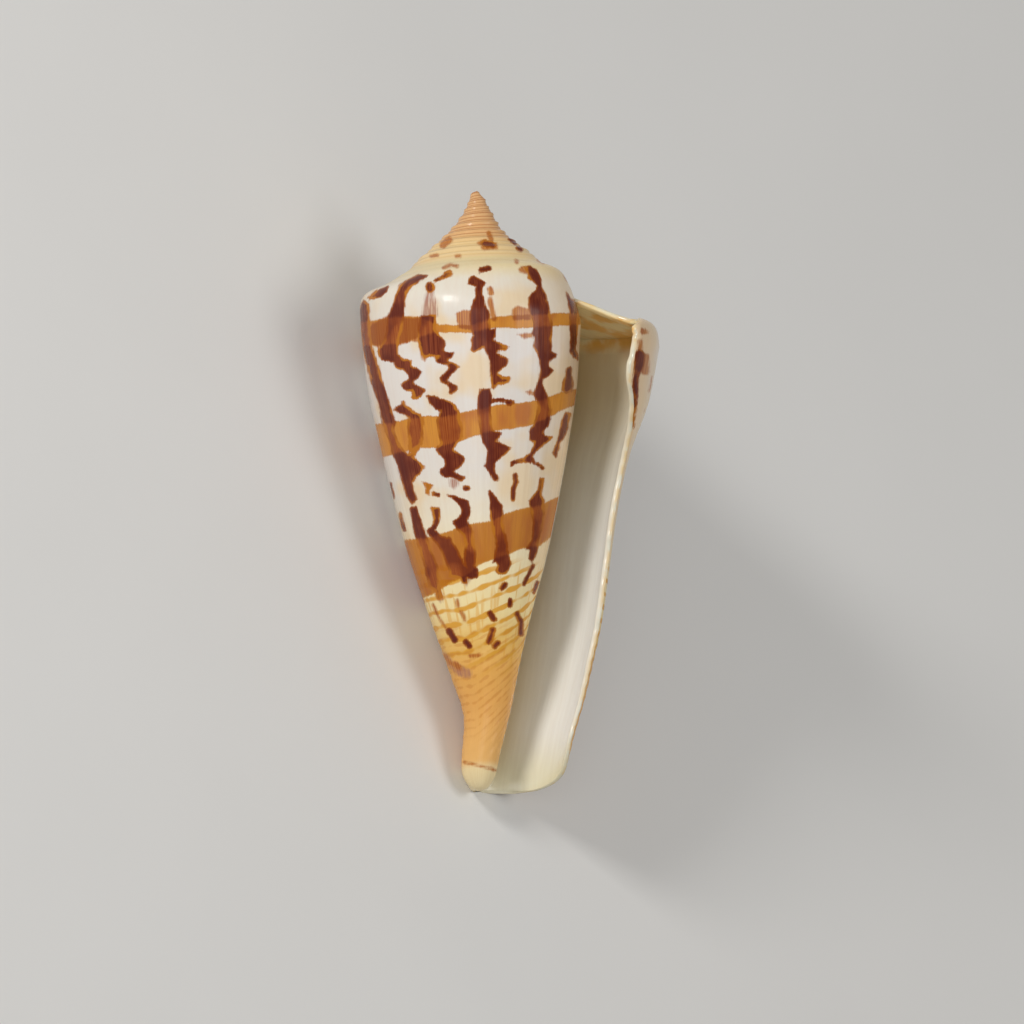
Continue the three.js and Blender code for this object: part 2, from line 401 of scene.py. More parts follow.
    def lip_turn(self, place: Array) -> Array:
        """The lip's turn: forward at the shoulder, level down the side, and falling back in front.

        Args:
            place: place.

        Returns:
            The turn at which the whorl ends there.
        """
        shoulder = smooth(-0.45, -0.05, place) * (1 - smooth(0.06, 0.27, place))
        past = np.clip((place - self.corner_from) / (1 - self.corner_from), 0, 1)
        worn = sum(np.sin(k * place + k * k) / j for j, k in enumerate(self.chip_waves, 1))
        worn = worn * self.chips * smooth(-0.9, -0.6, place)
        return (self.lip_suture + self.lip_shoulder * shoulder + self.lip_side * smooth(0, 0.27, place)
                - self.lip_corner * (1 - np.sqrt(1 - past * past)) + worn)

    def hollow_depth(self, place: Array) -> Array:
        """How far back the hollow reaches, further towards the top."""
        return self.notch_depth + self.extra_depth * (1 - np.clip(place, 0, 1)) ** 1.3

    def thickness(self, turn: Array, place: Array) -> Array:
        """The wall's thickness: less at the tip, on the ramp, in the inner whorl and at the lip."""
        ramp = self.ramp_wall + (1 - self.ramp_wall) * smooth(-1, -0.2, place)
        inner = self.inner_wall + (1 - self.inner_wall) * smooth(-1.15, -0.5, turn)
        lip = 1 - (1 - self.lip_wall) * smooth(-0.12, 0, turn - self.lip_turn(place))
        return (self.wall - self.tip_thinning * smooth(0.55, 1, place)) * ramp * inner * lip

    def inside(self, turn: Array, place: Array, closed: Array) -> Array:
        """Points of the wall's inner face: the outer profile moved in by the thickness.

        Args:
            turn: growth.
            place: place.
            closed: 1 where the face lies on the whorl inside it and the hollow ends.

        Returns:
            Points of the inner face.
        """
        r, z = self.profile(turn, place)
        nr, nz = self.inward(turn, place)
        core_r, core_z = self.profile(turn - 1, np.maximum(place, 0))
        wall = np.minimum(self.thickness(turn, place), 0.7 * np.hypot(r - core_r, z - core_z))
        r, z = r + nr * wall, z + nz * wall
        return self.coil(turn, r + (core_r - r) * closed, z + (core_z - z) * closed)


@dataclass(frozen=True)
class Relief:
    """Low relief that the growing shell leaves on its outside, in millimetres.

    Attributes:
        thread: height of the fine spiral threads on the spire's ramps.
        threads: threads on one ramp.
        step: how far a whorl stands over the suture above it.
        step_at: where on the ramp it stands out most, as a part of the ramp.
        step_width: how wide it is.
        cord: height of the low spiral cords round the front end.
        cords: cords from the widest line to the tip.
        ripple: height of the growth lines' ripples.
        ripple_waves: how many ripples there are to a whorl.
    """

    thread: float = 0.05
    threads: float = 3
    step: float = 0.2
    step_at: float = 0.2
    step_width: float = 0.14
    cord: float = 0.03
    cords: float = 34
    ripple: float = 0.006
    ripple_waves: tuple[int, ...] = (31, 47, 83)

    def __call__(self, turn: Array, place: Array) -> Array:
        """The height over the plain surface.

        Threads and cords are cosine waves over the place, the step is a bump next to the suture,
        and the ripples are a few waves over the growth.

        Args:
            turn: growth.
            place: place.

        Returns:
            Heights, zero at the lines where whorls meet.
        """
        t = np.clip((place + 1) / (EDGE + 1), 0, 1)
        fade = smooth(0, 0.06, t) * (1 - smooth(0.94, 1, t))
        spire = 1 - smooth(-1.3, -0.9, turn)
        size = np.clip((turn + 10.5) / 5, 0.2, 1)
        threads = self.thread * np.cos(2 * np.pi * self.threads * t) * fade * (0.35 + 0.65 * spire)
        step = self.step * np.exp(-((t - self.step_at) / self.step_width) ** 2) * fade * spire
        on_ramp = (threads * smooth(-7, -3.5, turn) + step) * size
        cords = self.cord * np.cos(2 * np.pi * self.cords * spiral_line(turn, place))
        cords = cords * smooth(0.56, 0.72, place) * (1 - smooth(0.9, 0.95, place))
        slant = 3 * np.clip(place, 0, 1)
        waves = sum(np.sin(2 * np.pi * k * turn + slant) for k in self.ripple_waves)
        near_tip = (1 - 0.8 * smooth(0.45, 0.7, place)) * (1 - smooth(0.95, 1, place))
        ripple = self.ripple * waves * smooth(EDGE, 0.05, place) * near_tip
        return np.where(place <= EDGE, on_ramp, cords + ripple)


def spiral_line(turn: Array, place: Array) -> Array:
    """Which spiral line runs through a place: the place, shifted where the shell grew faster.

    Args:
        turn: growth.
        place: place.

    Returns:
        The same number all along one spiral line.
    """
    faster = np.clip(-0.66 - turn, 0, 0.5)
    return place + 0.45 * faster ** 1.3 * (0.45 + 0.55 * smooth(0, 0.35, place))


@dataclass(frozen=True)
class FrontView:
    """The view that the photograph was taken in: from the front, a little from below the spire.

    Attributes:
        tip: the tip's pole in the photograph, in pixels.
        scale: pixels to a millimetre at the shell.
        below: how far the camera looks up towards the spire, in degrees.
        roll: how far the shell leans in the picture, in degrees.
        frame: pixels along the picture's side.
        lens: focal length, in millimetres.
        sensor: sensor width, in millimetres.
    """

    tip: tuple[float, float] = (490.0, 791.0)
    scale: float = 8.66
    below: float = 8.0
    roll: float = 1.05
    frame: int = 1024
    lens: float = 400.0
    sensor: float = 36.0

    @property
    def axes(self) -> Array:
        """Rows: to the picture's right, into the picture and up, in the standing shell's frame."""
        e, r = np.radians([-self.below, -self.roll])
        tilt = np.array([[1, 0, 0], [0, np.cos(e), -np.sin(e)], [0, np.sin(e), np.cos(e)]])
        lean = np.array([[np.cos(r), 0, np.sin(r)], [0, 1, 0], [-np.sin(r), 0, np.cos(r)]])
        return lean @ tilt

    @property
    def distance(self) -> float:
        """Distance from the camera to the tip's plane, in millimetres."""
        return self.frame / self.scale * self.lens / self.sensor

    def pixels(self, points: Array) -> Array:
        """Where points of the standing shell fall in the photograph.

        Args:
            points: points in millimetres, with a last axis of three.

        Returns:
            Pixels to the right and down, and the depth in millimetres, as a last axis of three.
        """
        seen = points @ self.axes.T
        centre = self.frame / 2
        near = self.distance / (self.distance + seen[..., 1])
        right = centre + (self.tip[0] - centre + self.scale * seen[..., 0]) * near
        down = centre + (self.tip[1] - centre - self.scale * seen[..., 2]) * near
        return np.stack([right, down, seen[..., 1]], -1)

    @property
    def aim(self) -> Array:
        """The point of the standing shell's frame at the picture's centre."""
        right = (self.frame / 2 - self.tip[0]) / self.scale
        up = (self.tip[1] - self.frame / 2) / self.scale
        return right * self.axes[0] + up * self.axes[2]


@dataclass(frozen=True)
class Lying:
    """How the shell lies: rolled about its axis, then laid down on its shoulder and tip.

    Attributes:
        roll: turn about the axis, in degrees.
        axis_rise: how far the axis rises from the ground towards the apex, in degrees.
        worn_flat: depth of the flat spots that it rests on, in millimetres.
    """

    roll: float = 45.0
    axis_rise: float = 12.75
    worn_flat: float = 0.5

    @property
    def turn(self) -> Array:
        """Rows: the frame's X, Y and Z directions in the standing shell's frame."""
        roll, rise = np.radians([self.roll, self.axis_rise])
        up = np.array([np.cos(rise) * np.sin(roll), -np.cos(rise) * np.cos(roll), np.sin(rise)])
        to_tip = np.array([0, 0, -1.0]) + up * up[2]
        to_tip /= np.linalg.norm(to_tip)
        return np.stack([to_tip, np.cross(up, to_tip), up])

    def lay(self, points: Array) -> tuple[Array, Array]:
        """Lays points down in the frame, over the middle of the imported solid's box.

        Args:
            points: points of the standing shell, in millimetres.

        Returns:
            The points in metres, and the place of the standing shell's origin.
        """
        low, high = (np.array(corner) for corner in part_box(NODE))
        laid = points @ self.turn.T * METRE
        shift = (low + high) / 2 - (laid.min(0) + laid.max(0)) / 2
        shift[2] = low[2] - laid[:, 2].min() - self.worn_flat * METRE
        laid += shift
        laid[:, 2] = np.maximum(laid[:, 2], low[2])
        return laid, shift


class Tone(Enum):
    """The colours of the marks on the shell."""

    FLAME = "dark"
    TAN = "tan"
    BAND = "band"
    LILAC = "lilac"


def way_to_line(at: Array, route: Points) -> Array:
    """The distance from places to the nearest point of a line of straight pieces.

    Args:
        at: places with a last axis of two.
        route: the line's points.

    Returns:
        Distances in the route's unit.
    """
    nearest = np.full(at.shape[:-1], FAR)
    for (x0, y0), (x1, y1) in zip(route[:-1], route[1:]):
        dx, dy = x1 - x0, y1 - y0
        px, py = at[..., 0] - x0, at[..., 1] - y0
        t = np.clip((px * dx + py * dy) / (dx * dx + dy * dy + TINY), 0, 1)
        nearest = np.minimum(nearest, np.hypot(px - t * dx, py - t * dy))
    return nearest


@dataclass(frozen=True)
class Mark:
    """One mark of the front, outlined on the photograph.

    Attributes:
        tone: its colour.
        outline: its corners, as pixels to the right and down.
    """

    tone: Tone
    outline: Points

    def depth(self, at: Array) -> Array:
        """How deep in the mark places lie: the distance to the nearest edge, below zero outside.

        Args:
            at: places with a last axis of two.

        Returns:
            Distances in the outline's unit.
        """
        closed = (*self.outline, self.outline[0])
        nearest = way_to_line(at, closed)
        inside = np.zeros(at.shape[:-1], bool)
        for (x0, y0), (x1, y1) in zip(closed[:-1], closed[1:]):
            side = (at[..., 0] - x0) * (y1 - y0) - (at[..., 1] - y0) * (x1 - x0)
            crosses = (y0 > at[..., 1]) != (y1 > at[..., 1])
            inside ^= crosses & (side < 0 if y1 > y0 else side > 0)
        return np.where(inside, nearest, -nearest)


@dataclass(frozen=True)
class Dash:
    """One short stroke of the front, drawn on the photograph.

    Attributes:
        tone: its colour.
        half: half its width, in pixels.
        route: its points, as pixels to the right and down.
    """

    tone: Tone
    half: float
    route: Points

    def depth(self, at: Array) -> Array:
        """How deep in the stroke places lie: half the width less the distance to its line.

        Args:
            at: places with a last axis of two.

        Returns:
            Distances in pixels, below zero outside.
        """
        return self.half - way_to_line(at, self.route)


def deepest_marks(marks: Iterable[Mark | Dash], at: Array) -> dict[Tone, Array]:
    """How deep places lie in the marks of each tone.

    Args:
        marks: the marks.
        at: places with a last axis of two.

    Returns:
        The greatest depth by tone, limited to the few pixels that the finish uses.
    """
    found = {tone: np.full(at.shape[:-1], -DEEPEST) for tone in Tone}
    for mark in marks:
        found[mark.tone] = np.maximum(found[mark.tone], mark.depth(at))
    return {tone: np.minimum(depth, DEEPEST) for tone, depth in found.items()}


F, T, B, L = Tone.FLAME, Tone.TAN, Tone.BAND, Tone.LILAC

FRONT_MARKS: tuple[Mark | Dash, ...] = (
    # the flame along the left edge, down to the first arrow
    Mark(F, ((358, 312), (364, 300), (369, 304), (369, 320), (370, 335), (373, 350), (378, 365),
         (381, 378), (385, 390), (389, 403), (393, 416), (395, 423), (393, 430), (397, 440), (403, 450),
         (408, 455), (413, 452), (420, 447), (415, 455), (413, 458), (418, 462), (425, 467), (420, 473),
         (415, 478), (412, 483), (414, 492), (417, 499), (412, 504), (408, 498), (404, 488), (401, 477),
         (398, 465), (393, 455), (391, 445), (387, 435), (383, 425), (381, 412), (377, 398), (372, 384),
         (368, 370), (364, 354), (361, 335))),
    Mark(F, ((368, 298), (374, 292), (382, 289), (388, 286), (386, 292), (380, 297), (372, 299))),
    Mark(F, ((410, 508), (416, 507), (419, 515), (422, 524), (425, 533), (429, 545), (433, 556),
         (438, 567), (438, 578), (440, 587), (442, 598), (438, 600), (434, 590), (429, 586), (427, 575),
         (424, 562), (419, 548), (415, 535), (412, 520))),
    # the second flame: shoulder streak, block, zigzag
    Mark(F, ((428, 275), (418, 275), (406, 281), (399, 286), (397, 293), (394, 302), (391, 311),
         (387, 318), (387, 330), (385, 340), (380, 348), (377, 352), (382, 360), (394, 362), (396, 368),
         (404, 370), (409, 374), (409, 379), (401, 385), (403, 389), (412, 391), (414, 394), (411, 398),
         (417, 399), (421, 395), (425, 390), (420, 387), (414, 385), (413, 381), (418, 377), (421, 372),
         (418, 369), (411, 366), (411, 361), (404, 359), (397, 355), (397, 349), (398, 340), (402, 330),
         (403, 319), (404, 311), (405, 302), (406, 294), (411, 287), (420, 280))),
    Mark(F, ((394, 410), (396, 407), (402, 405), (402, 401), (404, 401), (405, 406), (409, 408),
         (414, 412), (420, 414), (423, 417), (423, 430), (422, 444), (415, 450), (409, 453), (409, 440),
         (408, 428), (409, 418), (404, 414))),
    Mark(F, ((431, 507), (439, 508), (440, 516), (439, 523), (434, 530), (441, 536), (450, 538),
         (456, 548), (460, 556), (465, 565), (470, 570), (478, 573), (477, 577), (471, 579), (466, 577),
         (467, 583), (462, 583), (461, 578), (455, 577), (449, 577), (450, 571), (447, 563), (443, 554),
         (438, 545), (432, 538), (427, 532), (433, 525), (434, 518), (432, 511))),
    Mark(F, ((422, 482), (428, 484), (433, 485), (429, 489), (429, 495), (426, 493), (426, 487))),
    # the third flame: head, block, zigzag, wedge, arrows
    Mark(F, ((421, 316), (436, 315), (435, 328), (438, 334), (444, 341), (445, 345), (441, 350),
         (446, 353), (454, 352), (452, 357), (447, 359), (449, 362), (456, 364), (459, 367), (454, 371),
         (449, 376), (447, 381), (450, 383), (457, 386), (457, 390), (451, 394), (447, 394), (450, 389),
         (447, 385), (441, 382), (440, 378), (444, 374), (450, 369), (447, 364), (438, 363), (435, 359),
         (440, 357), (430, 356), (424, 358), (421, 354), (419, 346), (418, 332))),
    Mark(F, ((427, 396), (434, 396), (441, 399), (449, 401), (455, 406), (459, 413), (460, 420),
         (462, 428), (462, 437), (455, 446), (453, 450), (460, 454), (465, 459), (462, 465), (456, 469),
         (453, 472), (459, 475), (466, 477), (461, 481), (455, 478), (450, 477), (444, 477), (440, 473),
         (441, 469), (446, 466), (445, 459), (438, 453), (436, 450), (441, 443), (438, 432), (437, 420),
         (441, 411), (436, 409), (431, 404))),
    Mark(F, ((447, 495), (454, 496), (461, 499), (468, 501), (470, 508), (470, 514), (467, 520),
         (470, 526), (473, 532), (474, 545), (476, 555), (474, 565), (478, 571), (474, 576), (469, 574),
         (466, 568), (464, 558), (466, 547), (464, 535), (458, 530), (456, 526), (453, 522), (459, 518),
         (462, 512), (460, 505), (455, 500))),
    # the fourth flame: head, block, saw teeth, arrow
    Mark(F, ((468, 284), (469, 278), (474, 276), (480, 279), (485, 283), (483, 286), (481, 285),
         (482, 295), (485, 305), (489, 312), (490, 330), (496, 328), (495, 336), (492, 340), (498, 343),
         (509, 347), (505, 350), (498, 350), (496, 353), (502, 357), (508, 359), (507, 364), (503, 368),
         (498, 372), (497, 374), (503, 377), (510, 377), (509, 382), (503, 384), (498, 384), (494, 389),
         (492, 388), (491, 375), (490, 360), (487, 352), (484, 346), (480, 349), (475, 352), (471, 350),
         (473, 345), (471, 340), (474, 336), (472, 330), (470, 322), (471, 312), (473, 303), (476, 295),
         (476, 286))),
    Mark(F, ((480, 389), (490, 389), (492, 399), (501, 399), (510, 400), (515, 402), (509, 405),
         (504, 402), (497, 401), (491, 403), (490, 409), (491, 420), (492, 430), (496, 432), (501, 433),
         (499, 437), (495, 441), (502, 444), (511, 448), (506, 453), (500, 458), (495, 463), (494, 470),
         (498, 477), (498, 481), (494, 481), (491, 475), (488, 470), (485, 466), (487, 458), (488, 450),
         (484, 443), (481, 435), (480, 425), (478, 415), (478, 403))),
    Mark(F, ((489, 491), (493, 493), (497, 500), (502, 505), (503, 513), (502, 520), (504, 530),
         (507, 545), (508, 555), (511, 562), (508, 570), (505, 574), (499, 574), (496, 571), (498, 566),
         (496, 561), (493, 563), (495, 553), (497, 545), (494, 535), (491, 523), (490, 510), (490, 500))),
    # the fifth flame: head, long dark block with teeth, bird's foot, streaks
    Mark(F, ((524, 267), (530, 266), (536, 269), (539, 275), (542, 283), (541, 287), (545, 293),
         (547, 300), (549, 308), (550, 316), (552, 325), (552, 332), (551, 340), (552, 347), (551, 352),
         (557, 355), (554, 358), (549, 361), (548, 366), (553, 371), (549, 375), (543, 379), (542, 384),
         (544, 389), (547, 394), (549, 400), (551, 410), (550, 420), (547, 427), (542, 432), (545, 436),
         (552, 437), (548, 441), (541, 447), (536, 451), (532, 456), (534, 460), (530, 463), (524, 462),
         (516, 463), (511, 466), (511, 462), (518, 460), (526, 457), (531, 453), (533, 448), (535, 442),
         (530, 440), (530, 430), (534, 425), (537, 415), (539, 405), (536, 398), (533, 393), (537, 387),
         (539, 380), (541, 372), (540, 360), (537, 352), (533, 347), (536, 338), (532, 333), (535, 325),
         (530, 315), (529, 305), (529, 298), (533, 293), (536, 290), (538, 284), (533, 281), (528, 279),
         (528, 272))),
    Mark(F, ((540, 478), (544, 478), (543, 487), (541, 494), (544, 500), (544, 512), (543, 522),
         (541, 531), (538, 540), (537, 550), (535, 557), (532, 561), (529, 559), (530, 550), (526, 549),
         (532, 541), (533, 530), (533, 520), (531, 510), (529, 501), (533, 496), (538, 490), (539, 482))),
    # the last flame, at the right edge
    Mark(F, ((566, 292), (571, 299), (575, 300), (580, 305), (580, 315), (578, 325), (577, 335),
         (576, 345), (575, 350), (578, 355), (578, 360), (573, 357), (570, 351), (571, 340), (570, 325),
         (570, 310), (568, 301))),
    Mark(F, ((567, 368), (571, 367), (571, 374), (573, 383), (572, 391), (566, 393), (562, 390),
         (563, 382), (566, 375))),
    Mark(F, ((566, 412), (571, 414), (569, 420), (567, 430), (564, 437), (560, 443), (558, 450),
         (556, 457), (553, 453), (555, 447), (558, 440), (560, 430), (562, 420))),
    # small marks
    Dash(F, 3.6, ((430, 286), (430, 289))),
    Dash(F, 1.8, ((434, 494), (438, 495))),
    Dash(F, 1.9, ((465, 488), (468, 488))),
    Dash(F, 2.0, ((515, 475), (516, 482), (513, 490), (513, 499))),
    Dash(F, 1.1, ((533, 462), (539, 465), (543, 468))),
    Dash(F, 2.2, ((481, 270), (489, 268))),
    Dash(F, 1.5, ((436, 280), (444, 277), (451, 274))),
    Dash(F, 2.2, ((446, 274), (450, 273))),
    Dash(F, 2.4, ((566, 275), (569, 279))),
    Dash(F, 1.3, ((390, 484), (393, 498))),
    Dash(F, 1.3, ((400, 514), (404, 530))),
    Dash(F, 2.8, ((449, 631), (455, 640))),
    Dash(F, 2.6, ((490, 613), (494, 619))),
    Dash(F, 2.8, ((493, 630), (489, 641))),
    Dash(F, 2.4, ((498, 643), (495, 646))),
    Dash(F, 2.2, ((517, 614), (521, 622), (521, 634))),
    Dash(F, 1.4, ((533, 566), (529, 574), (524, 584))),
    Dash(F, 1.4, ((537, 582), (534, 592))),
    Dash(F, 2.4, ((505, 584), (502, 588))),
    Dash(F, 1.6, ((510, 600), (510, 606))),
    Dash(F, 2.4, ((466, 642), (469, 646))),
    Dash(F, 3.0, ((485, 243), (493, 245))),
    Dash(F, 1.6, ((510, 239), (515, 243))),
    Dash(F, 1.8, ((518, 248), (521, 250))),
    # softer orange-brown marks
    Mark(T, ((456, 313), (463, 310), (472, 311), (472, 330), (460, 328), (457, 321))),
    Mark(T, ((512, 309), (517, 306), (525, 308), (531, 309), (531, 320), (513, 320))),
    Mark(T, ((516, 334), (524, 333), (533, 333), (533, 338), (524, 338))),
    Mark(T, ((361, 337), (374, 323), (386, 317), (404, 318), (421, 318), (424, 330), (422, 343),
         (412, 341), (399, 345), (386, 346), (378, 348), (371, 343))),
    Mark(T, ((421, 354), (427, 356), (425, 361), (421, 359))),
    Mark(T, ((518, 268), (524, 266), (529, 271), (527, 274), (520, 272))),
    Mark(T, ((525, 392), (531, 390), (536, 395), (530, 395))),
    Mark(T, ((477, 243), (481, 240), (497, 242), (498, 249), (482, 250), (481, 246))),
    Dash(T, 2.4, ((490, 289), (491, 293))),
    Dash(T, 2.6, ((490, 300), (492, 310), (494, 319))),
    Dash(T, 2.2, ((489, 233), (491, 240))),
    Dash(T, 3.4, ((443, 245), (449, 240))),
    Dash(T, 1.8, ((444, 268), (450, 265), (457, 266))),
    Dash(T, 1.6, ((431, 256), (437, 255))),
    Dash(T, 1.5, ((456, 256), (460, 256))),
    Dash(T, 2.0, ((516, 261), (517, 262))),
    Dash(T, 2.2, ((539, 260), (543, 262))),
    Dash(T, 1.6, ((457, 600), (458, 606))),
    Dash(T, 1.7, ((461, 612), (465, 620))),
    Dash(T, 1.0, ((433, 605), (438, 616), (446, 628))),
    Dash(T, 1.2, ((464, 762), (480, 766), (496, 770))),
    Dash(T, 1.6, ((470, 656), (479, 655))),
    Dash(T, 2.0, ((444, 656), (450, 663))),
    Dash(T, 2.4, ((454, 664), (460, 668))),
    # faded lilac marks
    Mark(L, ((427, 290), (433, 290), (436, 300), (438, 316), (422, 316), (424, 302))),
    Mark(L, ((449, 478), (458, 478), (458, 484), (454, 489), (450, 486))),
    Mark(L, ((461, 574), (470, 573), (470, 580), (466, 586), (462, 582))),
    Mark(L, ((441, 650), (447, 654), (454, 662), (462, 666), (472, 672), (470, 678), (458, 676),
         (448, 666))),
    Mark(L, ((434, 586), (440, 590), (444, 598), (441, 603), (436, 597))),
    # the strip beside the lip
    Dash(T, 3.0, ((643, 331), (645, 332))),
    Dash(T, 2.2, ((640, 341), (640, 350))),
    Mark(F, ((637, 350), (641, 349), (644, 354), (644, 362), (641, 371), (638, 378), (638, 392),
         (637, 405), (635, 415), (634, 428), (632, 428), (633, 405), (633, 380), (635, 366), (635, 356))),
    Dash(T, 4.0, ((645, 357), (645, 371))),
    Dash(T, 4.5, ((656, 379), (653, 391))),
    Dash(T, 1.6, ((652, 396), (645, 415), (639, 432))),
    # the three spiral bands
    Mark(B, ((350, 322), (372, 321), (395, 316), (420, 317), (440, 325), (470, 325), (495, 317),
         (530, 314), (560, 313), (590, 312), (590, 324), (560, 326), (530, 328), (495, 328), (470, 333),
         (440, 332), (418, 338), (400, 344), (378, 346), (350, 346))),
    Mark(B, ((350, 424), (376, 424), (400, 421), (420, 416), (445, 416), (470, 411), (495, 405),
         (520, 403), (540, 400), (562, 392), (590, 386), (590, 400), (562, 410), (545, 420), (525, 427),
         (500, 430), (475, 436), (455, 443), (435, 448), (420, 448), (400, 453), (384, 457), (350, 458))),
    Mark(B, ((380, 541), (404, 540), (430, 537), (455, 529), (470, 524), (490, 521), (505, 514),
         (520, 509), (540, 505), (560, 496), (560, 530), (540, 546), (520, 549), (500, 558), (480, 564),
         (470, 574), (452, 582), (438, 592), (424, 598), (400, 606), (380, 608))),
)


@dataclass(frozen=True)
class BackPattern:
    """The marks round the hidden back, drawn the way the front's are.

    They are drawn on a sheet: growth since the left edge, in pixels, across, and the photograph's
    height, in pixels, down.

    Attributes:
        turn_width: pixels of the sheet to a whorl.
        first: where the first flame stands.
        spacing: from one flame to the next.
        flames: how many flames there are.
        seed: seed of the flames' irregular outlines.
        bands: each band's middle and half width, as spiral lines.
        last: growth at which the bands end before the lip.
        ramp_height: pixels of the sheet that the ramp's width takes up.
        line_height: pixels of the sheet from the widest line to the tip.
        flattening: a height's share that the photograph's slope leaves to be seen.
    """

    turn_width: float = 900.0
    first: float = 34.0
    spacing: float = 53.0
    flames: int = 8
    seed: int = 11
    bands: tuple[tuple[float, float], ...] = ((0.03, 0.024), (0.25, 0.037), (0.53, 0.066))
    last: float = -0.012
    ramp_height: float = 90.0
    line_height: float = 470.0
    flattening: float = 0.99

    def stretches(self) -> tuple[tuple[float, float, float, float], ...]:
        """The parts of a flame: top, bottom, half width and how far its zigzag swings."""
        return ((268, 358, 14.0, 2.5), (348, 404, 8.5, 9.0), (394, 462, 13.0, 4.0),
                (452, 492, 8.5, 8.0), (496, 592, 12.0, 2.5), (604, 616, 4.5, 1.0), (630, 642, 5.0, 1.0))

    def flame(self, middle: float, random: np.random.Generator) -> list[Mark]:
        """One flame: along each stretch a zigzag line with ragged edges.

        Args:
            middle: the flame's place across the sheet.
            random: source of the irregularity.

        Returns:
            The flame's marks.
        """
        marks = []
        for top, bottom, half, swing in self.stretches():
            top += random.uniform(-12, 8)
            bottom += random.uniform(-5, 5)
            down = np.arange(top, bottom + 1, 6.5)
            zigzag = swing * np.where(np.arange(len(down)) % 3 == 0, 1.0, -0.5)
            wander = middle + random.uniform(-4, 4) + zigzag + random.uniform(-1.2, 1.2, len(down))
            ends = np.minimum(smooth(0, 9, down - top + 3), smooth(0, 9, bottom - down + 3))
            left = wander - half * ends * random.uniform(0.7, 1.15, len(down))
            right = wander + half * ends * random.uniform(0.7, 1.3, len(down))
            outline = np.concatenate([np.stack([left, down], 1), np.stack([right, down], 1)[::-1]])
            marks.append(Mark(F, tuple(map(tuple, outline))))
        return marks

    def marks(self) -> list[Mark | Dash]:
        """The seeded flames of the sheet."""
        random = np.random.default_rng(self.seed)
        return [mark for k in range(self.flames)
                for mark in self.flame(self.first + self.spacing * k, random)]

    def band_depth(self, turn: Array, place: Array) -> Array:
        """How deep in a band places lie, in pixels: half its width less the way to its middle."""
        line = spiral_line(turn, place)
        deepest = np.full(line.shape, -FAR)
        for middle, half in self.bands:
            deepest = np.maximum(deepest, (half - np.abs(line - middle)) * self.line_height)
        end = self.last + 0.007 * np.sin(75 * place) + 0.004 * np.sin(190 * place) - turn
        return np.minimum(deepest, end * self.turn_width * 0.4)


@dataclass
class Patch:
    """One grid of points of the shell, with what its finish needs.

    Attributes:
        points: the points, rows by columns by three, in millimetres.
        turn: growth at each point.
        place: place at each point.
        inner: whether it is finished as the glossy inside.
        flipped: whether its faces are wound the other way.
        rim: the way round the lip's edge: 0 at the outside and 1 at the inner face.
    """

    points: Array
    turn: Array
    place: Array
    inner: bool = False
    flipped: bool = False
    rim: Array | float = 1.0


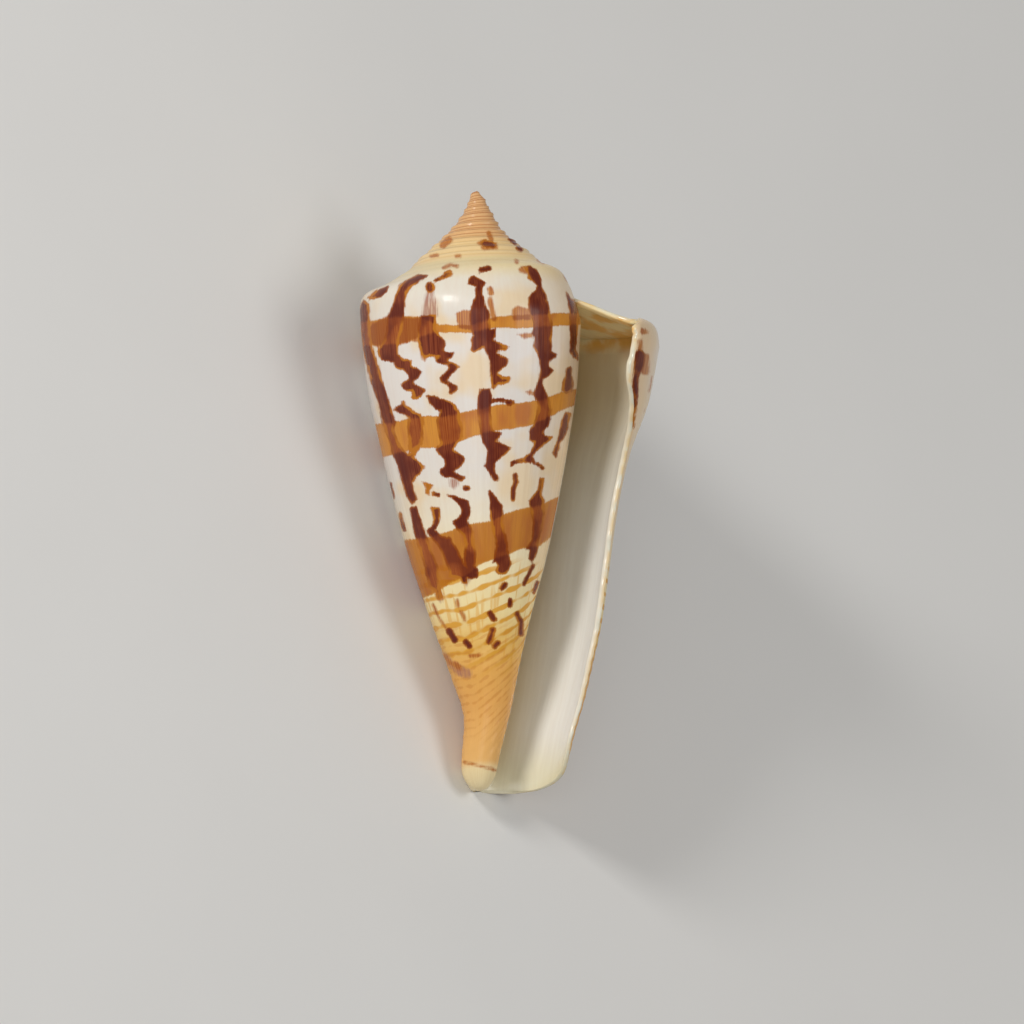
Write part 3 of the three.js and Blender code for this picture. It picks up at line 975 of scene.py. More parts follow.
@dataclass
class ShellMesh:
    """The shell's whole surface, built from patches that share their edges.

    Attributes:
        coil: the surfaces' formulas.
        relief: the outside's low relief.
        front: the photograph's view, for the pattern.
        back: the pattern of the hidden back.
        early_rows: rows of each whorl up to the notch's start.
        late_rows: rows from there to the lip.
        shoulder_columns: columns over the shoulder.
        ramp_columns: columns over each ramp.
        side_columns: columns down the side.
        marked_to: the place down to which the side carries marks, and has most of its columns.
        marked_share: the part of the side's columns that lie there.
        coarse_from: the whorl, counted back, from which the tiny whorls are coarser.
        rim_columns: columns round the lip's edge.
        rim_round: how far the lip's edge is rounded forward, in millimetres.
        closing: the part of the hollow's rows over which it closes at its inner end.
        lip_strip: growth from which the strip beside the lip shows in the photograph.
        strip_blend: growth over which the back's pattern gives way to the strip's.
    """

    coil: Coil = field(default_factory=Coil)
    relief: Relief = field(default_factory=Relief)
    front: FrontView = field(default_factory=FrontView)
    back: BackPattern = field(default_factory=BackPattern)
    early_rows: int = 200
    late_rows: int = 60
    ramp_columns: int = 14
    shoulder_columns: int = 14
    side_columns: int = 180
    marked_to: float = 0.74
    marked_share: float = 0.8
    coarse_from: int = 5
    rim_columns: int = 5
    rim_round: float = 0.09
    closing: float = 0.35
    lip_strip: float = 0.022
    strip_blend: float = 0.008

    def ramp_places(self) -> Array:
        """Columns over the ramp."""
        return np.linspace(-1, EDGE, self.ramp_columns + 1)

    def places(self) -> Array:
        """Columns of the last whorl: close together where it is marked and at the rounded tip."""
        marked = round(self.side_columns * self.marked_share)
        t = np.linspace(0, 1, self.side_columns - marked + 1)
        front = self.marked_to + (1 - self.marked_to) * (t + np.sin(t * np.pi / 2)) / 2
        side = np.linspace(0, self.marked_to, marked, endpoint=False)
        shoulder = np.linspace(EDGE, 0, self.shoulder_columns + 1)
        return np.concatenate([self.ramp_places()[:-1], shoulder[:-1], side, front])

    def row_turns(self) -> tuple[Array, Array]:
        """Rows of a whorl: turns up to the notch, and parts of the way from there to the lip."""
        first, last = self.coil.lip_suture - 1, -self.coil.notch_depth
        early = np.linspace(first, last, self.early_rows, endpoint=False)
        return early, np.linspace(0, 1, self.late_rows + 1)

    def outer(self, turn: Array, place: Array, part: Array | float = 1.0) -> Patch:
        """A patch of the outside, with a part of its relief."""
        turn, place = (a.copy() for a in np.broadcast_arrays(turn, place))
        return Patch(self.coil.outside(turn, place, part * self.relief(turn, place)), turn, place)

    def spire(self) -> list[Patch]:
        """The ramps of the older whorls, which are all that shows of them."""
        early, late = self.row_turns()
        depth = self.coil.notch_depth
        rows = np.concatenate([early, -depth + (self.coil.lip_suture + depth) * late])
        patches = []
        for whorl in range(1, WHORLS + 1):
            turn, place = np.broadcast_arrays(rows[:, None] - whorl, self.ramp_places()[None])
            if whorl >= self.coarse_from:
                turn, place = self.coarser(turn, place, whorl == self.coarse_from)
            patches.append(self.outer(np.maximum(turn, -WHORLS), place))
        return patches

    def coarser(self, turn: Array, place: Array, beside_fine: bool) -> tuple[Array, Array]:
        """Draws each four rows and two columns together, so that fewer faces are left.

        Args:
            turn: growth at each point.
            place: place at each point.
            beside_fine: whether the last row and the last column stay, because a fine patch joins.

        Returns:
            Growth and place of the points, many of them now equal.
        """
        i, j = np.indices(turn.shape)
        row, column = i // 4 * 4, j // 2 * 2
        if beside_fine:
            row[:, -1] = i[:, -1]
            column[-1] = j[-1]
        return turn[row, column], place[row, column]

    def last_whorl(self) -> list[Patch]:
        """The last whorl: outside, wall's inner face, core's face, and the strips that join them.

        Returns:
            Patches whose edges fall on each other, so that the shell is closed.
        """
        coil = self.coil
        place = self.places()[None]
        side = place[:, place[0] >= 0]
        early, late = self.row_turns()
        late = late[:, None]
        lip = coil.lip_turn(place)
        late_turns = -coil.notch_depth + (lip + coil.notch_depth) * late
        turns = np.concatenate([early[:, None] + 0 * place, late_turns])
        outer = self.outer(turns, place)
        depth = coil.hollow_depth(place)
        inner_turns = -depth + (lip + depth) * late
        places = place + 0 * inner_turns
        closed = (1 - smooth(0, self.closing, late)) + 0 * inner_turns
        inner = Patch(coil.inside(inner_turns, places, closed), inner_turns, places, True, True)
        core_depth = coil.hollow_depth(side)
        core_turns = -core_depth + (coil.lip_suture + core_depth) * late - 1
        core_points = self.outer(core_turns, side, smooth(0, 0.2, late)).points
        core = Patch(core_points, core_turns + 1, side + 0 * core_turns, True)
        join = Patch(np.stack([inner.points[:, 0], core.points[:, 0]], 1),
                     np.stack([inner.turn[:, 0]] * 2, 1), np.stack([inner.place[:, 0]] * 2, 1), True)
        shoulder = np.linspace(EDGE, 0, self.shoulder_columns + 1)[None]
        row = self.outer(np.full((1, 1), coil.lip_suture - 1), shoulder)
        corner = np.repeat(inner.points[-1:, :1], shoulder.shape[1], 1)
        fan = Patch(np.concatenate([corner, row.points]), np.full((2, shoulder.shape[1]), coil.lip_suture),
                    np.full((2, shoulder.shape[1]), -1.0), True)
        return [outer, inner, core, join, fan, self.lip_rim(outer, inner), self.front_rim(outer, inner)]

    def rim(self, first: Array, last: Array, ahead: Array) -> Array:
        """A rounded strip: points run from one edge to the other and bulge ahead by a half sine."""
        t = np.linspace(0, 1, self.rim_columns + 1)
        run = first[:, None] + (last - first)[:, None] * t[None, :, None]
        return run + ahead[:, None] * np.sin(np.pi * t)[None, :, None]

    def lip_rim(self, outer: Patch, inner: Patch) -> Patch:
        """The lip's rounded edge, from the outside to the inner face."""
        first, last = outer.points[-1], inner.points[-1]
        ahead = first - outer.points[-2]
        ahead /= np.linalg.norm(ahead, axis=1, keepdims=True) + TINY
        width = np.linalg.norm(last - first, axis=1, keepdims=True)
        size = np.minimum(self.rim_round, 0.4 * width)
        size[[0, -1]] = 0
        points = self.rim(first, last, ahead * size).swapaxes(0, 1)
        points[1:, 0] = last[0]
        shape = points.shape[:2]
        way = np.linspace(0, 1, self.rim_columns + 1)[:, None]
        turn, place = (np.broadcast_to(row, shape) for row in (outer.turn[-1], outer.place[-1]))
        return Patch(points, turn, place, True, rim=way)

    def front_rim(self, outer: Patch, inner: Patch) -> Patch:
        """The rounded edge of the siphon's notch."""
        first, last = outer.points[-inner.points.shape[0]:, -1], inner.points[:, -1]
        width = np.linalg.norm(last - first, axis=1, keepdims=True)
        size = np.minimum(self.rim_round, 0.35 * width)
        size[-1] = 0
        points = self.rim(first, last, np.array([0, 0, -1.0]) * size)
        turn = outer.turn[-inner.points.shape[0]:, -1:]
        way = np.linspace(0, 1, self.rim_columns + 1)[None]
        return Patch(points, turn + np.zeros(points.shape[:2]), np.ones(points.shape[:2]), True, rim=way)

    def depths(self, patch: Patch) -> dict[Tone, Array]:
        """How deep in a mark of each tone the patch's points lie, in pixels.

        Args:
            patch: a patch, whose inner side carries no marks.

        Returns:
            Depths by tone, limited to the few pixels that the finish uses.
        """
        if patch.inner:
            return {tone: np.full(patch.turn.shape, -DEEPEST) for tone in Tone}
        px = self.front.pixels(patch.points)
        across = (patch.turn + 0.5) * self.back.turn_width
        up_ramp = self.back.ramp_height * np.clip((EDGE - patch.place) / (1 + EDGE), 0, 1)
        pixels_high = self.front.scale * self.back.flattening * patch.points[..., 2]
        down = self.front.tip[1] - pixels_high - up_ramp
        sheet = np.stack([across, down], -1)
        strip = smooth(self.lip_strip - self.strip_blend, self.lip_strip, patch.turn)
        seen = np.where(patch.turn > -0.5, strip, 1.0)
        found = deepest_marks(FRONT_MARKS, px[..., :2])
        hidden = deepest_marks(self.back.marks(), sheet)
        hidden[B] = np.clip(self.back.band_depth(patch.turn, patch.place), -DEEPEST, DEEPEST)
        return {tone: hidden[tone] + (found[tone] - hidden[tone]) * seen for tone in Tone}

    def patches(self) -> list[Patch]:
        """All patches of the shell."""
        return [*self.spire(), *self.last_whorl()]

    def build(self, lying: Lying) -> tuple[bpy.types.Object, Array]:
        """Makes the shell's mesh: quads over each grid, equal points merged, faces outward.

        Args:
            lying: how the shell lies.

        Returns:
            The object, and the place of the standing shell's origin.
        """
        patches = self.patches()
        corners, inner, start = [], [], 0
        for patch in patches:
            rows, columns = patch.turn.shape
            index = np.arange(rows * columns).reshape(rows, columns) + start
            quad = np.stack([index[:-1, :-1], index[1:, :-1], index[1:, 1:], index[:-1, 1:]], -1)
            quad = quad.reshape(-1, 4)
            corners.append(quad[:, ::-1] if patch.flipped else quad)
            inner.append(np.full(len(quad), patch.inner))
            start += rows * columns
        corners, inner = np.concatenate(corners), np.concatenate(inner)
        points = np.concatenate([p.points.reshape(-1, 3) for p in patches])
        _, first, same = np.unique(np.round(points * WELD_STEPS).astype(np.int64), axis=0,
                                   return_index=True, return_inverse=True)
        merged = same.reshape(-1)[corners]
        kept = merged != np.roll(merged, 1, axis=1)
        kept[kept.sum(1) < 3] = False
        used = kept.any(1)
        laid, origin = lying.lay(points[first])
        shell = self.new_mesh(laid, merged[kept], kept.sum(1)[used], inner[used])
        self.add_fields(shell.data, patches, corners[kept])
        return shell, origin

    def new_mesh(self, points: Array, loops: Array, sizes: Array, inner: Array) -> bpy.types.Object:
        """Puts the points and faces in a new mesh object.

        Args:
            points: the points, in metres.
            loops: the faces' corners, one after another.
            sizes: corners of each face.
            inner: whether each face has the inner finish.

        Returns:
            The object, in the scene.
        """
        mesh = bpy.data.meshes.new("cone_shell")
        mesh.vertices.add(len(points))
        mesh.vertices.foreach_set("co", points.astype(np.float32).ravel())
        mesh.loops.add(len(loops))
        mesh.loops.foreach_set("vertex_index", loops.astype(np.int32))
        mesh.polygons.add(len(sizes))
        starts = np.concatenate([[0], np.cumsum(sizes)[:-1]])
        mesh.polygons.foreach_set("loop_start", starts.astype(np.int32))
        mesh.polygons.foreach_set("material_index", inner.astype(np.int32))
        mesh.polygons.foreach_set("use_smooth", np.ones(len(sizes), bool))
        mesh.update(calc_edges=True)
        shell = bpy.data.objects.new("cone_shell", mesh)
        bpy.context.scene.collection.objects.link(shell)
        return shell

    def add_fields(self, mesh: bpy.types.Mesh, patches: list[Patch], loops: Array) -> None:
        """Stores what the finishes read at each face's corner.

        Args:
            mesh: the mesh.
            patches: the patches it was made from.
            loops: each corner's point among the patches' points.
        """
        tones = {tone: [] for tone in Tone}
        for patch in patches:
            for tone, depths in self.depths(patch).items():
                tones[tone].append(depths.ravel())
        turn = np.concatenate([p.turn.ravel() for p in patches])
        place = np.concatenate([p.place.ravel() for p in patches])
        fields = {tone.value: np.concatenate(tones[tone]) for tone in Tone}
        fields |= {"turn": turn, "place": place, "line": spiral_line(turn, place),
                   "height": np.concatenate([p.points[..., 2].ravel() for p in patches]),
                   "rim": np.concatenate([(p.rim + 0 * p.turn).ravel() for p in patches]),
                   "before_lip": self.coil.lip_turn(place) - turn}
        for name, values in fields.items():
            layer = mesh.attributes.new(name, "FLOAT", "CORNER")
            layer.data.foreach_set("value", values[loops].astype(np.float32))


@dataclass(frozen=True)
class Gloss:
    """How glossy a finish is.

    Attributes:
        roughness: how rough it is.
        coat: strength of the clear gloss over it.
        coat_roughness: its roughness.
        shine: strength of the mirror-like part.
        bump: strength of the growth lines' bump.
        bump_height: its height, in metres.
    """

    roughness: float
    coat: float
    coat_roughness: float
    shine: float
    bump: float
    bump_height: float = 0.0002


class Graph:
    """A node tree under construction."""

    def __init__(self, tree: bpy.types.NodeTree) -> None:
        """Starts on a tree."""
        self.tree = tree

    def node(self, kind: str, inputs: dict[str | int, object] | None = None, **settings: object
             ) -> bpy.types.Node:
        """Adds a node.

        Args:
            kind: the node's type name, without its ShaderNode prefix.
            inputs: values or sockets for its inputs, by name or number.
            settings: the node's own properties.

        Returns:
            The node.
        """
        made = self.tree.nodes.new("ShaderNode" + kind)
        for name, value in settings.items():
            setattr(made, name, value)
        for name, value in (inputs or {}).items():
            if isinstance(value, Socket):
                self.tree.links.new(value, made.inputs[name])
            else:
                made.inputs[name].default_value = value
        return made

    def field(self, name: str) -> Socket:
        """Reads one of the mesh's fields."""
        return self.node("Attribute", attribute_name=name).outputs["Fac"]

    def maths(self, operation: str, *values: object) -> Socket:
        """A sum or other operation on numbers or sockets."""
        return self.node("Math", dict(enumerate(values)), operation=operation).outputs[0]

    def times(self, first: object, second: object) -> Socket:
        """The product of two numbers or sockets."""
        return self.maths("MULTIPLY", first, second)

    def plus(self, first: object, second: object) -> Socket:
        """Their sum."""
        return self.maths("ADD", first, second)

    def minus(self, first: object, second: object) -> Socket:
        """Their difference."""
        return self.maths("SUBTRACT", first, second)

    def step(self, value: object, low: float, high: float, to_low: float = 0.0, to_high: float = 1.0
             ) -> Socket:
        """The smooth step of a value from low to high."""
        found = self.node("MapRange", {0: value, 1: low, 2: high, 3: to_low, 4: to_high},
                          interpolation_type="SMOOTHSTEP", clamp=True)
        return found.outputs[0]

    def vector(self, x: object, y: object, z: object = 0.0) -> Socket:
        """Three numbers or sockets as a vector."""
        return self.node("CombineXYZ", {0: x, 1: y, 2: z}).outputs[0]

    def noise(self, at: Socket, scale: float, detail: float = 3.0) -> Socket:
        """Smooth noise around a half."""
        return self.node("TexNoise", {"Vector": at, "Scale": scale, "Detail": detail}).outputs["Fac"]

    def mix(self, part: object, first: Socket | str, second: Socket | str) -> Socket:
        """A mix of two colours, each a socket or six hexadecimal digits."""
        made = self.node("Mix", {"Factor": part}, data_type="RGBA", blend_type="MIX")
        for name, value in (("A", first), ("B", second)):
            socket = next(s for s in made.inputs if s.name == name and s.type == "RGBA")
            if isinstance(value, str):
                socket.default_value = colour(value)
            else:
                self.tree.links.new(value, socket)
        return next(s for s in made.outputs if s.type == "RGBA")

    def ramp(self, value: object, stops: Stops) -> Socket:
        """A colour ramp.

        Args:
            value: the number that it reads.
            stops: places from 0 to 1 with their colours.

        Returns:
            The colour.
        """
        made = self.node("ValToRGB", {"Fac": value})
        elements = made.color_ramp.elements
        elements.remove(elements[1])
        elements[0].position, elements[0].color = stops[0][0], colour(stops[0][1])
        for place, code in stops[1:]:
            elements.new(place).color = colour(code)
        return made.outputs["Color"]

    def streak(self, group: bpy.types.NodeTree, density: float) -> Socket:
        """Growth lines of one density, from their group."""
        made = self.node("Group", node_tree=group)
        self.tree.links.new(self.field("turn"), made.inputs["Turn"])
        self.tree.links.new(self.field("place"), made.inputs["Place"])
        made.inputs["Density"].default_value = density
        return made.outputs["Streak"]

    def finish(self, shade: Socket, relief: Socket, gloss: Gloss) -> None:
        """Ends a material in a glossy shader.

        Args:
            shade: its colour.
            relief: heights of its bump.
            gloss: its gloss and the bump's size.
        """
        bump = self.node("Bump", {"Height": relief, "Strength": gloss.bump, "Distance": gloss.bump_height})
        shader = self.node("BsdfPrincipled", {
            "Base Color": shade, "Roughness": gloss.roughness, "Coat Weight": gloss.coat,
            "Coat Roughness": gloss.coat_roughness, "IOR": 1.5, "Specular IOR Level": gloss.shine,
            "Normal": bump.outputs[0]})
        self.node("OutputMaterial", {"Surface": shader.outputs[0]})


def new_material(name: str) -> tuple[bpy.types.Material, Graph]:
    """A material with an empty node tree, and the graph to fill it."""
    material = bpy.data.materials.new(name)
    material.use_nodes = True
    material.node_tree.nodes.clear()
    return material, Graph(material.node_tree)


def growth_lines_group() -> bpy.types.NodeTree:
    """The fine lines of growth, shared by the outside and the inside.

    Returns:
        A group that gives a streak from 0 to 1, drawn out down the whorl.
    """
    group = bpy.data.node_groups.new("growth lines", "ShaderNodeTree")
    for name in ("Turn", "Place", "Density"):
        group.interface.new_socket(name, in_out="INPUT", socket_type="NodeSocketFloat")
    group.interface.new_socket("Streak", in_out="OUTPUT", socket_type="NodeSocketFloat")
    graph = Graph(group)
    given = group.nodes.new("NodeGroupInput")
    across = graph.times(given.outputs["Turn"], given.outputs["Density"])
    at = graph.vector(across, graph.times(given.outputs["Place"], 2.5))
    fine = graph.noise(at, 3.0, 4.0)
    out = group.nodes.new("NodeGroupOutput")
    group.links.new(graph.step(fine, 0.3, 0.7), out.inputs["Streak"])
    return group


@dataclass(frozen=True)
class OutsideFinish:
    """The patterned, glossy outside. Colours are six hexadecimal digits as seen on a screen.

    Attributes:
        gloss: its gloss and bump.
        cords: spiral lines of the front end, from the widest line to the tip.
        threads: spiral threads on one ramp of the spire.
        length: the shell's length, in millimetres.
        ground: the ground's colour at heights from the tip, 0, to the apex, 1.
        warm: ground beside the lip, and painted reflected light, a yellowish cast, on the last whorl's
            earliest part beside the aperture.
        cloud: the body's soft clouds.
        stripe: the front end's stripes.
        fine_stripe: the finer ones near the tip.
        low_groove: grooves on the cream ramps.
        high_groove: grooves on the orange spire.
        band: the bands' ground.
        band_brown: their brownish parts.
        band_streak: their growth lines.
        front_band: what darkens the band nearest the tip.
        band_edge: the bands' edges.
        flame: the flames.
        flame_streak: their growth lines.
        crossing: the flames where they cross a band.
        crossing_streak: growth lines there.
        border: the flames' borders.
        light_border: the borders' lighter parts.
        grown: growth lines on the ground.
        lilac: the faded marks.
        tan: the softer marks.
        tan_streak: their growth lines.
        tan_on_band: the softer marks where they cross a band.
    """

    gloss: Gloss = Gloss(0.27, 0.1, 0.12, 0.16, 0.06)
    cords: float = 34
    threads: float = 3
    length: float = 70.0
    ground: Stops = (
        (0.0, "f0deb0"), (0.035, "ecd6a4"), (0.048, "e8b46c"), (0.14, "e6aa5c"), (0.2, "e6ac58"),
        (0.245, "e8bd6a"), (0.29, "f2dca0"), (0.36, "f4e3b6"), (0.45, "e9dec8"), (0.52, "e3dbd1"),
        (0.72, "e3dcd5"), (0.83, "e5dccb"), (0.855, "e8d5a8"), (0.905, "e6ca8c"), (0.925, "d28c40"),
        (1.0, "c58044"))
    warm: str = "eac896"
    cloud: str = "e8cda2"
    stripe: str = "dd9f38"
    fine_stripe: str = "c67c34"
    low_groove: str = "d6a347"
    high_groove: str = "a9592a"
    band: str = "d48a12"
    band_brown: str = "bc6a12"
    band_streak: str = "aa5c0c"
    front_band: str = "9c4c08"
    band_edge: str = "c27c14"
    flame: str = "5c1e12"
    flame_streak: str = "904626"
    crossing: str = "8f3f18"
    crossing_streak: str = "b2642a"
    border: str = "8f430c"
    light_border: str = "b8701f"
    grown: str = "c98a4a"
    lilac: str = "a8705c"
    tan: str = "c9853a"
    tan_streak: str = "a04c16"
    tan_on_band: str = "8e4216"

    def plain(self, graph: Graph, at: Socket, height: Socket) -> Socket:
        """Orange spire, cream shoulder, white body with cream clouds, yellow and orange front."""
        along = graph.ramp(height, self.ground)
        strip = graph.step(graph.field("before_lip"), 0.02, 0.11, 0.8, 0.0)
        # painted reflected light: a yellowish cast on the shaded body beside the aperture; the strip
        # beside the lip is its own colour
        painted_bounce_side = graph.step(graph.field("turn"), -0.97, -0.8, 0.55, 0.0)
        warm = graph.times(graph.plus(strip, painted_bounce_side), graph.step(height, 0.25, 0.5))
        along = graph.mix(warm, along, self.warm)
        clouds = graph.step(graph.noise(at, 170.0, 2.0), 0.46, 0.68, 0.0, 0.75)
        body = graph.times(graph.step(height, 0.3, 0.4), graph.step(height, 0.8, 0.86, 1.0, 0.0))
        return graph.mix(graph.times(clouds, body), along, self.cloud)

    def front_lines(self, graph: Graph, under: Socket, height: Socket) -> Socket:
        """Oblique yellow stripes over the front end, broken into cells, and finer ones near the tip."""
        line = graph.field("line")
        turn = graph.field("turn")
        wave = graph.maths("SINE", graph.times(line, self.cords * 2 * np.pi))
        cells = graph.noise(graph.vector(graph.times(turn, 26.0), graph.times(line, self.cords)), 1.0, 1.0)
        uneven = graph.minus(cells, 0.5)
        ragged = graph.plus(wave, graph.times(uneven, 2.6))
        zone = graph.times(graph.step(height, 0.17, 0.23), graph.step(height, 0.35, 0.38, 1.0, 0.0))
        growth = graph.noise(graph.vector(graph.times(turn, 60.0), graph.times(line, 7.0)), 1.0, 1.0)
        lines = graph.maths("MAXIMUM", graph.step(ragged, 0.2, 0.9, 0.0, 0.95),
                            graph.step(growth, 0.58, 0.68, 0.0, 0.5))
        striped = graph.mix(graph.times(lines, zone), under, self.stripe)
        fine = graph.maths("SINE", graph.times(line, self.cords * 3.4 * np.pi))
        fine = graph.plus(fine, graph.times(uneven, 4.0))
        low = graph.times(graph.step(height, 0.06, 0.13), graph.step(height, 0.24, 0.29, 1.0, 0.0))
        return graph.mix(graph.times(graph.step(fine, 0.3, 1.2, 0.0, 0.4), low), striped, self.fine_stripe)

    def spire_lines(self, graph: Graph, under: Socket, height: Socket) -> Socket:
        """Darker grooves between the spire's threads, and a line along each suture."""
        place = graph.field("place")
        across = graph.maths("DIVIDE", graph.plus(place, 1.0), EDGE + 1)
        on_ramp = graph.step(place, EDGE - 0.03, EDGE, 1.0, 0.0)
        wave = graph.maths("COSINE", graph.times(across, self.threads * 2 * np.pi))
        groove = graph.step(graph.times(wave, -1.0), 0.1, 0.9)
        suture = graph.step(graph.step(place, -1.0, EDGE), 0.0, 0.05, 1.0, 0.0)
        strong = graph.step(height, 0.905, 0.925, 0.2, 0.55)
        lines = graph.times(graph.times(groove, strong), on_ramp)
        old = graph.step(graph.field("turn"), -1.3, -1.0, 1.0, 0.1)
        lines = graph.times(graph.maths("MAXIMUM", lines, graph.times(suture, 0.7)), old)
        tint = graph.mix(graph.step(height, 0.9, 0.93), self.low_groove, self.high_groove)
        return graph.mix(lines, under, tint)

    def bands(self, graph: Graph, under: Socket, band: Socket, streak: Socket) -> Socket:
        """The three orange bands, patchy between golden and brownish, with a darker edge."""
        line = graph.field("line")
        at = graph.vector(graph.times(graph.field("turn"), 20.0), graph.times(line, 5.0))
        inner = graph.mix(graph.step(graph.noise(at, 1.3, 2.0), 0.45, 0.68), self.band, self.band_brown)
        inner = graph.mix(graph.times(streak, 0.35), inner, self.band_streak)
        inner = graph.mix(graph.step(line, 0.38, 0.48, 0.0, 0.4), inner, self.front_band)
        whole = graph.mix(graph.step(band, 0.2, 2.2), self.band_edge, inner)
        return graph.mix(graph.step(band, -1.0, 0.8, 0.0, 0.95), under, whole)

    def soft_marks(self, graph: Graph, under: Socket, depth: dict[Tone, Socket], streak: Socket) -> Socket:
        """The faded lilac marks and the softer tan ones, darker where those cross a band."""
        faint = graph.times(graph.step(depth[L], -2.4, 2.0), graph.step(streak, 0.1, 0.7, 0.35, 0.9))
        under = graph.mix(faint, under, self.lilac)
        tan = graph.mix(streak, self.tan, self.tan_streak)
        tan = graph.mix(graph.step(depth[B], -1.0, 1.5, 0.0, 0.75), tan, self.tan_on_band)
        return graph.mix(graph.step(depth[T], -1.6, 1.2, 0.0, 0.92), under, tan)

    def flames(self, graph: Graph, under: Socket, at: Socket, depth: dict[Tone, Socket], streak: Socket
               ) -> Socket:
        """Dark flames with thin orange borders, streaked reddish, and lighter over the bands."""
        patch = graph.noise(at, 300.0, 2.0)
        over_band = graph.step(depth[B], -1.0, 2.5)
        border_width = graph.plus(graph.step(patch, 0.5, 0.72, 0.0, 1.8), graph.times(over_band, 0.8))
        core = graph.step(graph.minus(depth[F], border_width), -0.2, 1.3)
        reddish = graph.times(streak, graph.step(patch, 0.35, 0.6, 0.2, 0.9))
        dark = graph.mix(reddish, self.flame, self.flame_streak)
        light = graph.mix(reddish, self.crossing, self.crossing_streak)
        dark = graph.mix(graph.times(over_band, graph.step(patch, 0.35, 0.55, 0.35, 0.85)), dark, light)
        border = graph.mix(graph.step(patch, 0.4, 0.6), self.border, self.light_border)
        return graph.mix(graph.step(depth[F], -1.6, 0.0), under, graph.mix(core, border, dark))

    def build(self, group: bpy.types.NodeTree) -> bpy.types.Material:
        """Makes the material: ground, lines, bands, soft marks and flames, one over another.

        The marks' depths are stirred by fine noise and by the growth lines before they are cut.

        Args:
            group: the growth lines.

        Returns:
            The material.
        """
        material, graph = new_material("shell_outside")
        at = graph.node("TexCoord").outputs["Object"]
        height = graph.maths("DIVIDE", graph.field("height"), self.length)
        streak = graph.streak(group, 60.0)
        fine_streak = graph.streak(group, 190.0)
        stir = graph.times(graph.minus(graph.noise(at, 1300.0, 5.0), 0.5), 3.2)
        wobble = graph.plus(stir, graph.minus(fine_streak, 0.5))
        depth = {tone: graph.plus(graph.field(tone.value), wobble) for tone in Tone}
        shade = self.plain(graph, at, height)
        shade = graph.mix(graph.times(streak, graph.step(height, 0.1, 0.3, 0.14, 0.06)), shade, self.grown)
        shade = self.front_lines(graph, shade, height)
        shade = self.spire_lines(graph, shade, height)
        shade = self.bands(graph, shade, depth[B], fine_streak)
        shade = self.soft_marks(graph, shade, depth, fine_streak)
        shade = self.flames(graph, shade, at, depth, fine_streak)
        rough = graph.plus(graph.times(streak, 0.4), graph.times(fine_streak, 0.6))
        rough = graph.times(rough, graph.step(height, 0.15, 0.4, 0.2, 1.0))
        graph.finish(shade, rough, self.gloss)
        return material


@dataclass(frozen=True)
class InsideFinish:
    """The plain porcelain inside. Colours are six hexadecimal digits as seen on a screen.

    Attributes:
        gloss: its gloss and bump.
        depths: the colour from the lip, 0, back into the hollow: painted light near the lip, and painted
            shade, browner further back.
        upper: the upper part's tint.
        front: the tint at the notch.
        callus: the callus under the ramp, its yellow paled with painted light.
        callus_patch: its orange patches, lightened with painted light too.
        rim: the lip's edge.
        rim_patch: its greyer patches.
        grown: growth lines.
    """

    gloss: Gloss = Gloss(0.26, 0.3, 0.1, 0.4, 0.08)
    # painted light: near white just inside the lip; painted shade: browner further back in the hollow
    depths: Stops = ((0.0, "ece6d6"), (0.05, "fbfaf5"), (0.14, "f6f0e2"), (0.22, "dcc598"),
                     (0.32, "c9a468"), (0.6, "b88d48"))
    upper: str = "e6d8b0"
    front: str = "e8dcae"
    callus: str = "ffebb4"
    callus_patch: str = "f2b650"
    rim: str = "e0c083"
    rim_patch: str = "d6d2bc"
    grown: str = "b89a70"

    def build(self, group: bpy.types.NodeTree) -> bpy.types.Material:
        """Makes the material: browner in the depth, which is painted shade, orange on the callus, paled
        with painted light, and cream at the lip.

        Args:
            group: the growth lines.

        Returns:
            The material.
        """
        material, graph = new_material("shell_inside")
        at = graph.node("TexCoord").outputs["Object"]
        streak = graph.streak(group, 40.0)
        place = graph.field("place")
        # painted light and shade: near white at the lip, browner back in the hollow
        shade = graph.ramp(graph.field("before_lip"), self.depths)
        shade = graph.mix(graph.step(place, 0.05, 0.5, 0.5, 0.0), shade, self.upper)
        shade = graph.mix(graph.step(place, 0.86, 0.98, 0.0, 0.7), shade, self.front)
        patch = graph.step(graph.noise(at, 260.0), 0.42, 0.62)
        # painted light: the callus and its patches are paler than their own yellow, standing in for light
        # on the ramp's underside
        callus = graph.mix(patch, self.callus, self.callus_patch)
        shade = graph.mix(graph.times(graph.step(place, -0.1, 0.05, 1.0, 0.0), 0.92), shade, callus)
        rim = graph.mix(graph.step(graph.noise(at, 500.0), 0.4, 0.6), self.rim, self.rim_patch)
        shade = graph.mix(graph.step(graph.field("rim"), 0.05, 0.9, 0.85, 0.0), shade, rim)
        shade = graph.mix(graph.times(streak, 0.08), shade, self.grown)
        graph.finish(shade, streak, self.gloss)
        return material


@dataclass
class ConeShell:
    """The shell: its mesh, its finishes and its place in the frame."""

    mesh: ShellMesh = field(default_factory=ShellMesh)
    lying: Lying = field(default_factory=Lying)
    outside: OutsideFinish = field(default_factory=OutsideFinish)
    inside: InsideFinish = field(default_factory=InsideFinish)

    def build(self) -> Array:
        """Builds and dresses the shell.

        Returns:
            The place of the standing shell's origin in the frame, in metres.
        """
        shell, origin = self.mesh.build(self.lying)
        lines = growth_lines_group()
        shell.data.materials.append(self.outside.build(lines))
        shell.data.materials.append(self.inside.build(lines))
        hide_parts(NODE)
        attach(shell, BODY)
        LOG.info("cone shell: %d points, %d faces", len(shell.data.vertices), len(shell.data.polygons))
        return origin


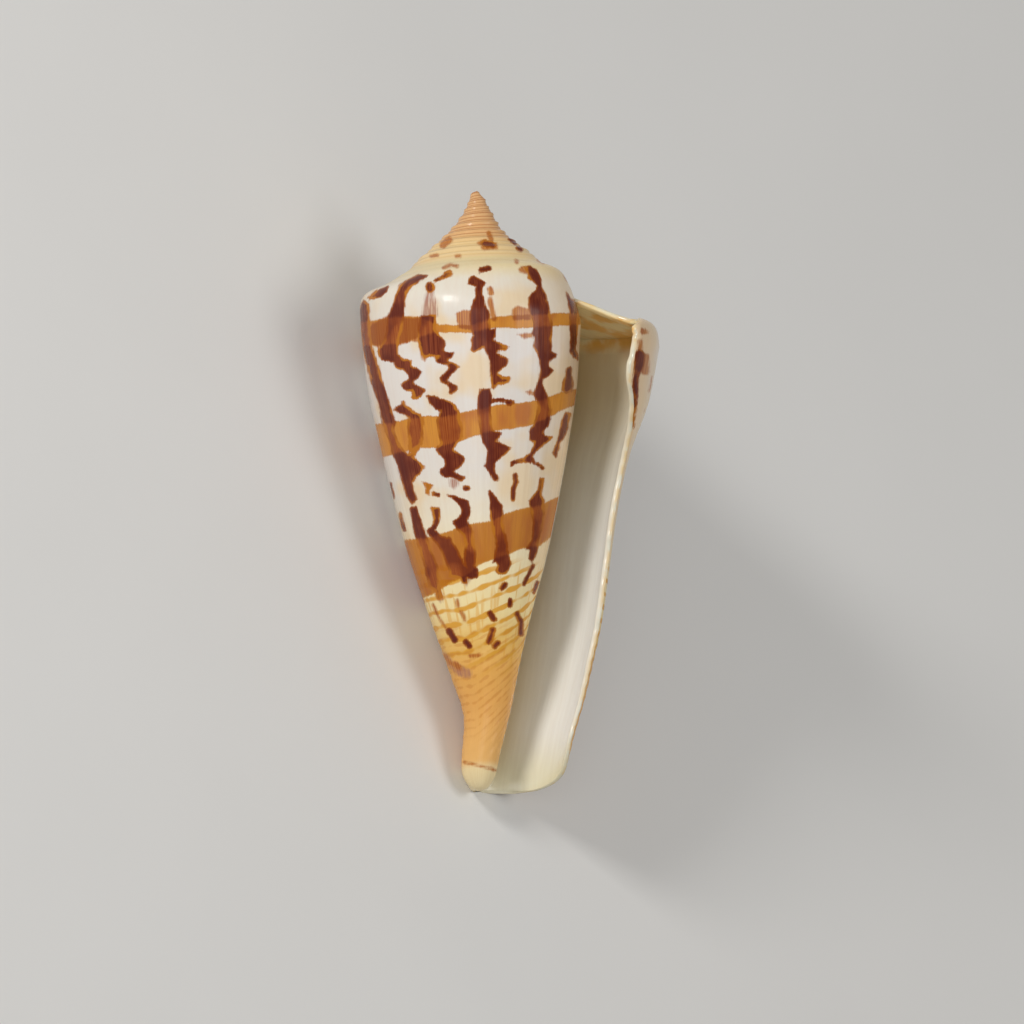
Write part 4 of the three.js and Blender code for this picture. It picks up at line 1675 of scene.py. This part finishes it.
@dataclass(frozen=True)
class Lamp:
    """One soft square light that faces the shell.

    Attributes:
        name: its name.
        way: its direction in the picture: right, towards the camera and up.
        distance: its distance, in metres.
        size: its side, in metres.
        power: its power, in watts.
    """

    name: str
    way: tuple[float, float, float]
    distance: float
    size: float
    power: float


@dataclass
class Studio:
    """The pale floor, the soft lights and the camera.

    Attributes:
        view: the photograph's view.
        lying: how the shell lies.
        origin: the standing shell's origin in the frame, in metres.
        floor_size: side of the floor, in metres.
        floor_colours: two near shades of the floor.
        sky: strength of the even light from all round.
        lamps: the lights.
    """

    view: FrontView
    lying: Lying
    origin: Array
    floor_size: float = 3.0
    floor_colours: tuple[str, str] = ("e4e2de", "dfddd9")
    sky: float = 0.24
    lamps: tuple[Lamp, ...] = (
        Lamp("key", (-0.42, 0.72, 0.55), 0.6, 0.13, 1.85),
        Lamp("front", (-0.05, 1.0, 0.05), 1.1, 0.5, 1.4),
        Lamp("side", (0.85, 0.5, 0.2), 0.9, 0.4, 2.2),
        Lamp("low", (0.15, 0.55, -0.82), 0.9, 0.4, 0.6))

    def direction(self, right: float, near: float, up: float) -> Vector:
        """A direction in the frame from one in the picture: right, towards the camera and up."""
        axes = self.view.axes
        standing = right * axes[0] - near * axes[1] + up * axes[2]
        return Vector(self.lying.turn @ standing).normalized()

    def centre(self) -> Vector:
        """The point of the frame at the picture's centre."""
        return Vector(self.lying.turn @ self.view.aim * METRE + self.origin)

    def camera(self) -> None:
        """The camera, where the photograph was taken from."""
        data = bpy.data.cameras.new("camera")
        data.lens, data.sensor_width = self.view.lens, self.view.sensor
        data.clip_start, data.clip_end = 0.01, 20
        camera = bpy.data.objects.new("camera", data)
        bpy.context.scene.collection.objects.link(camera)
        right, back, up = (self.direction(*way) for way in ((1, 0, 0), (0, 1, 0), (0, 0, 1)))
        turn = Matrix((right, up, back)).transposed().to_4x4()
        camera.matrix_world = Matrix.Translation(self.centre() + back * self.view.distance * METRE) @ turn
        bpy.context.scene.camera = camera

    def light(self, lamp: Lamp) -> None:
        """Sets up one light."""
        data = bpy.data.lights.new(lamp.name, "AREA")
        data.energy, data.size = lamp.power, lamp.size
        light = bpy.data.objects.new(lamp.name, data)
        bpy.context.scene.collection.objects.link(light)
        towards = self.direction(*lamp.way)
        light.location = self.centre() + towards * lamp.distance
        light.rotation_mode = "QUATERNION"
        light.rotation_quaternion = towards.to_track_quat("Z", "Y")

    def floor(self) -> None:
        """The plain pale floor under the shell."""
        half = self.floor_size / 2
        mesh = bpy.data.meshes.new("floor")
        corners = [(-half, -half, 0), (half, -half, 0), (half, half, 0), (-half, half, 0)]
        mesh.from_pydata(corners, [], [(0, 1, 2, 3)])
        floor = bpy.data.objects.new("floor", mesh)
        bpy.context.scene.collection.objects.link(floor)
        material = bpy.data.materials.new("floor")
        material.use_nodes = True
        graph = Graph(material.node_tree)
        shader = material.node_tree.nodes["Principled BSDF"]
        grain = graph.noise(graph.node("TexCoord").outputs["Object"], 30.0)
        graph.tree.links.new(graph.mix(grain, *self.floor_colours), shader.inputs["Base Color"])
        shader.inputs["Roughness"].default_value = 0.8
        mesh.materials.append(material)

    def build(self) -> None:
        """Sets up floor, lights, sky and camera."""
        self.floor()
        for lamp in self.lamps:
            self.light(lamp)
        world = bpy.data.worlds.new("studio")
        world.use_nodes = True
        background = world.node_tree.nodes["Background"]
        background.inputs["Color"].default_value = (1, 1, 1, 1)
        background.inputs["Strength"].default_value = self.sky
        bpy.context.scene.world = world
        bpy.context.scene.view_settings.view_transform = "Standard"
        self.camera()
        LOG.info("studio: floor, %d lights and camera", len(self.lamps))


def main() -> None:
    """Loads the frame, builds the shell and the studio, and notes the sizes."""
    logging.basicConfig(level=logging.INFO, format="%(name)s %(message)s")
    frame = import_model()
    LOG.info("frame with %d node", len(frame["nodes"]))
    shell = ConeShell()
    origin = shell.build()
    Studio(shell.mesh.front, shell.lying, origin).build()
    bpy.context.view_layer.update()


if __name__ == "__main__":
    main()
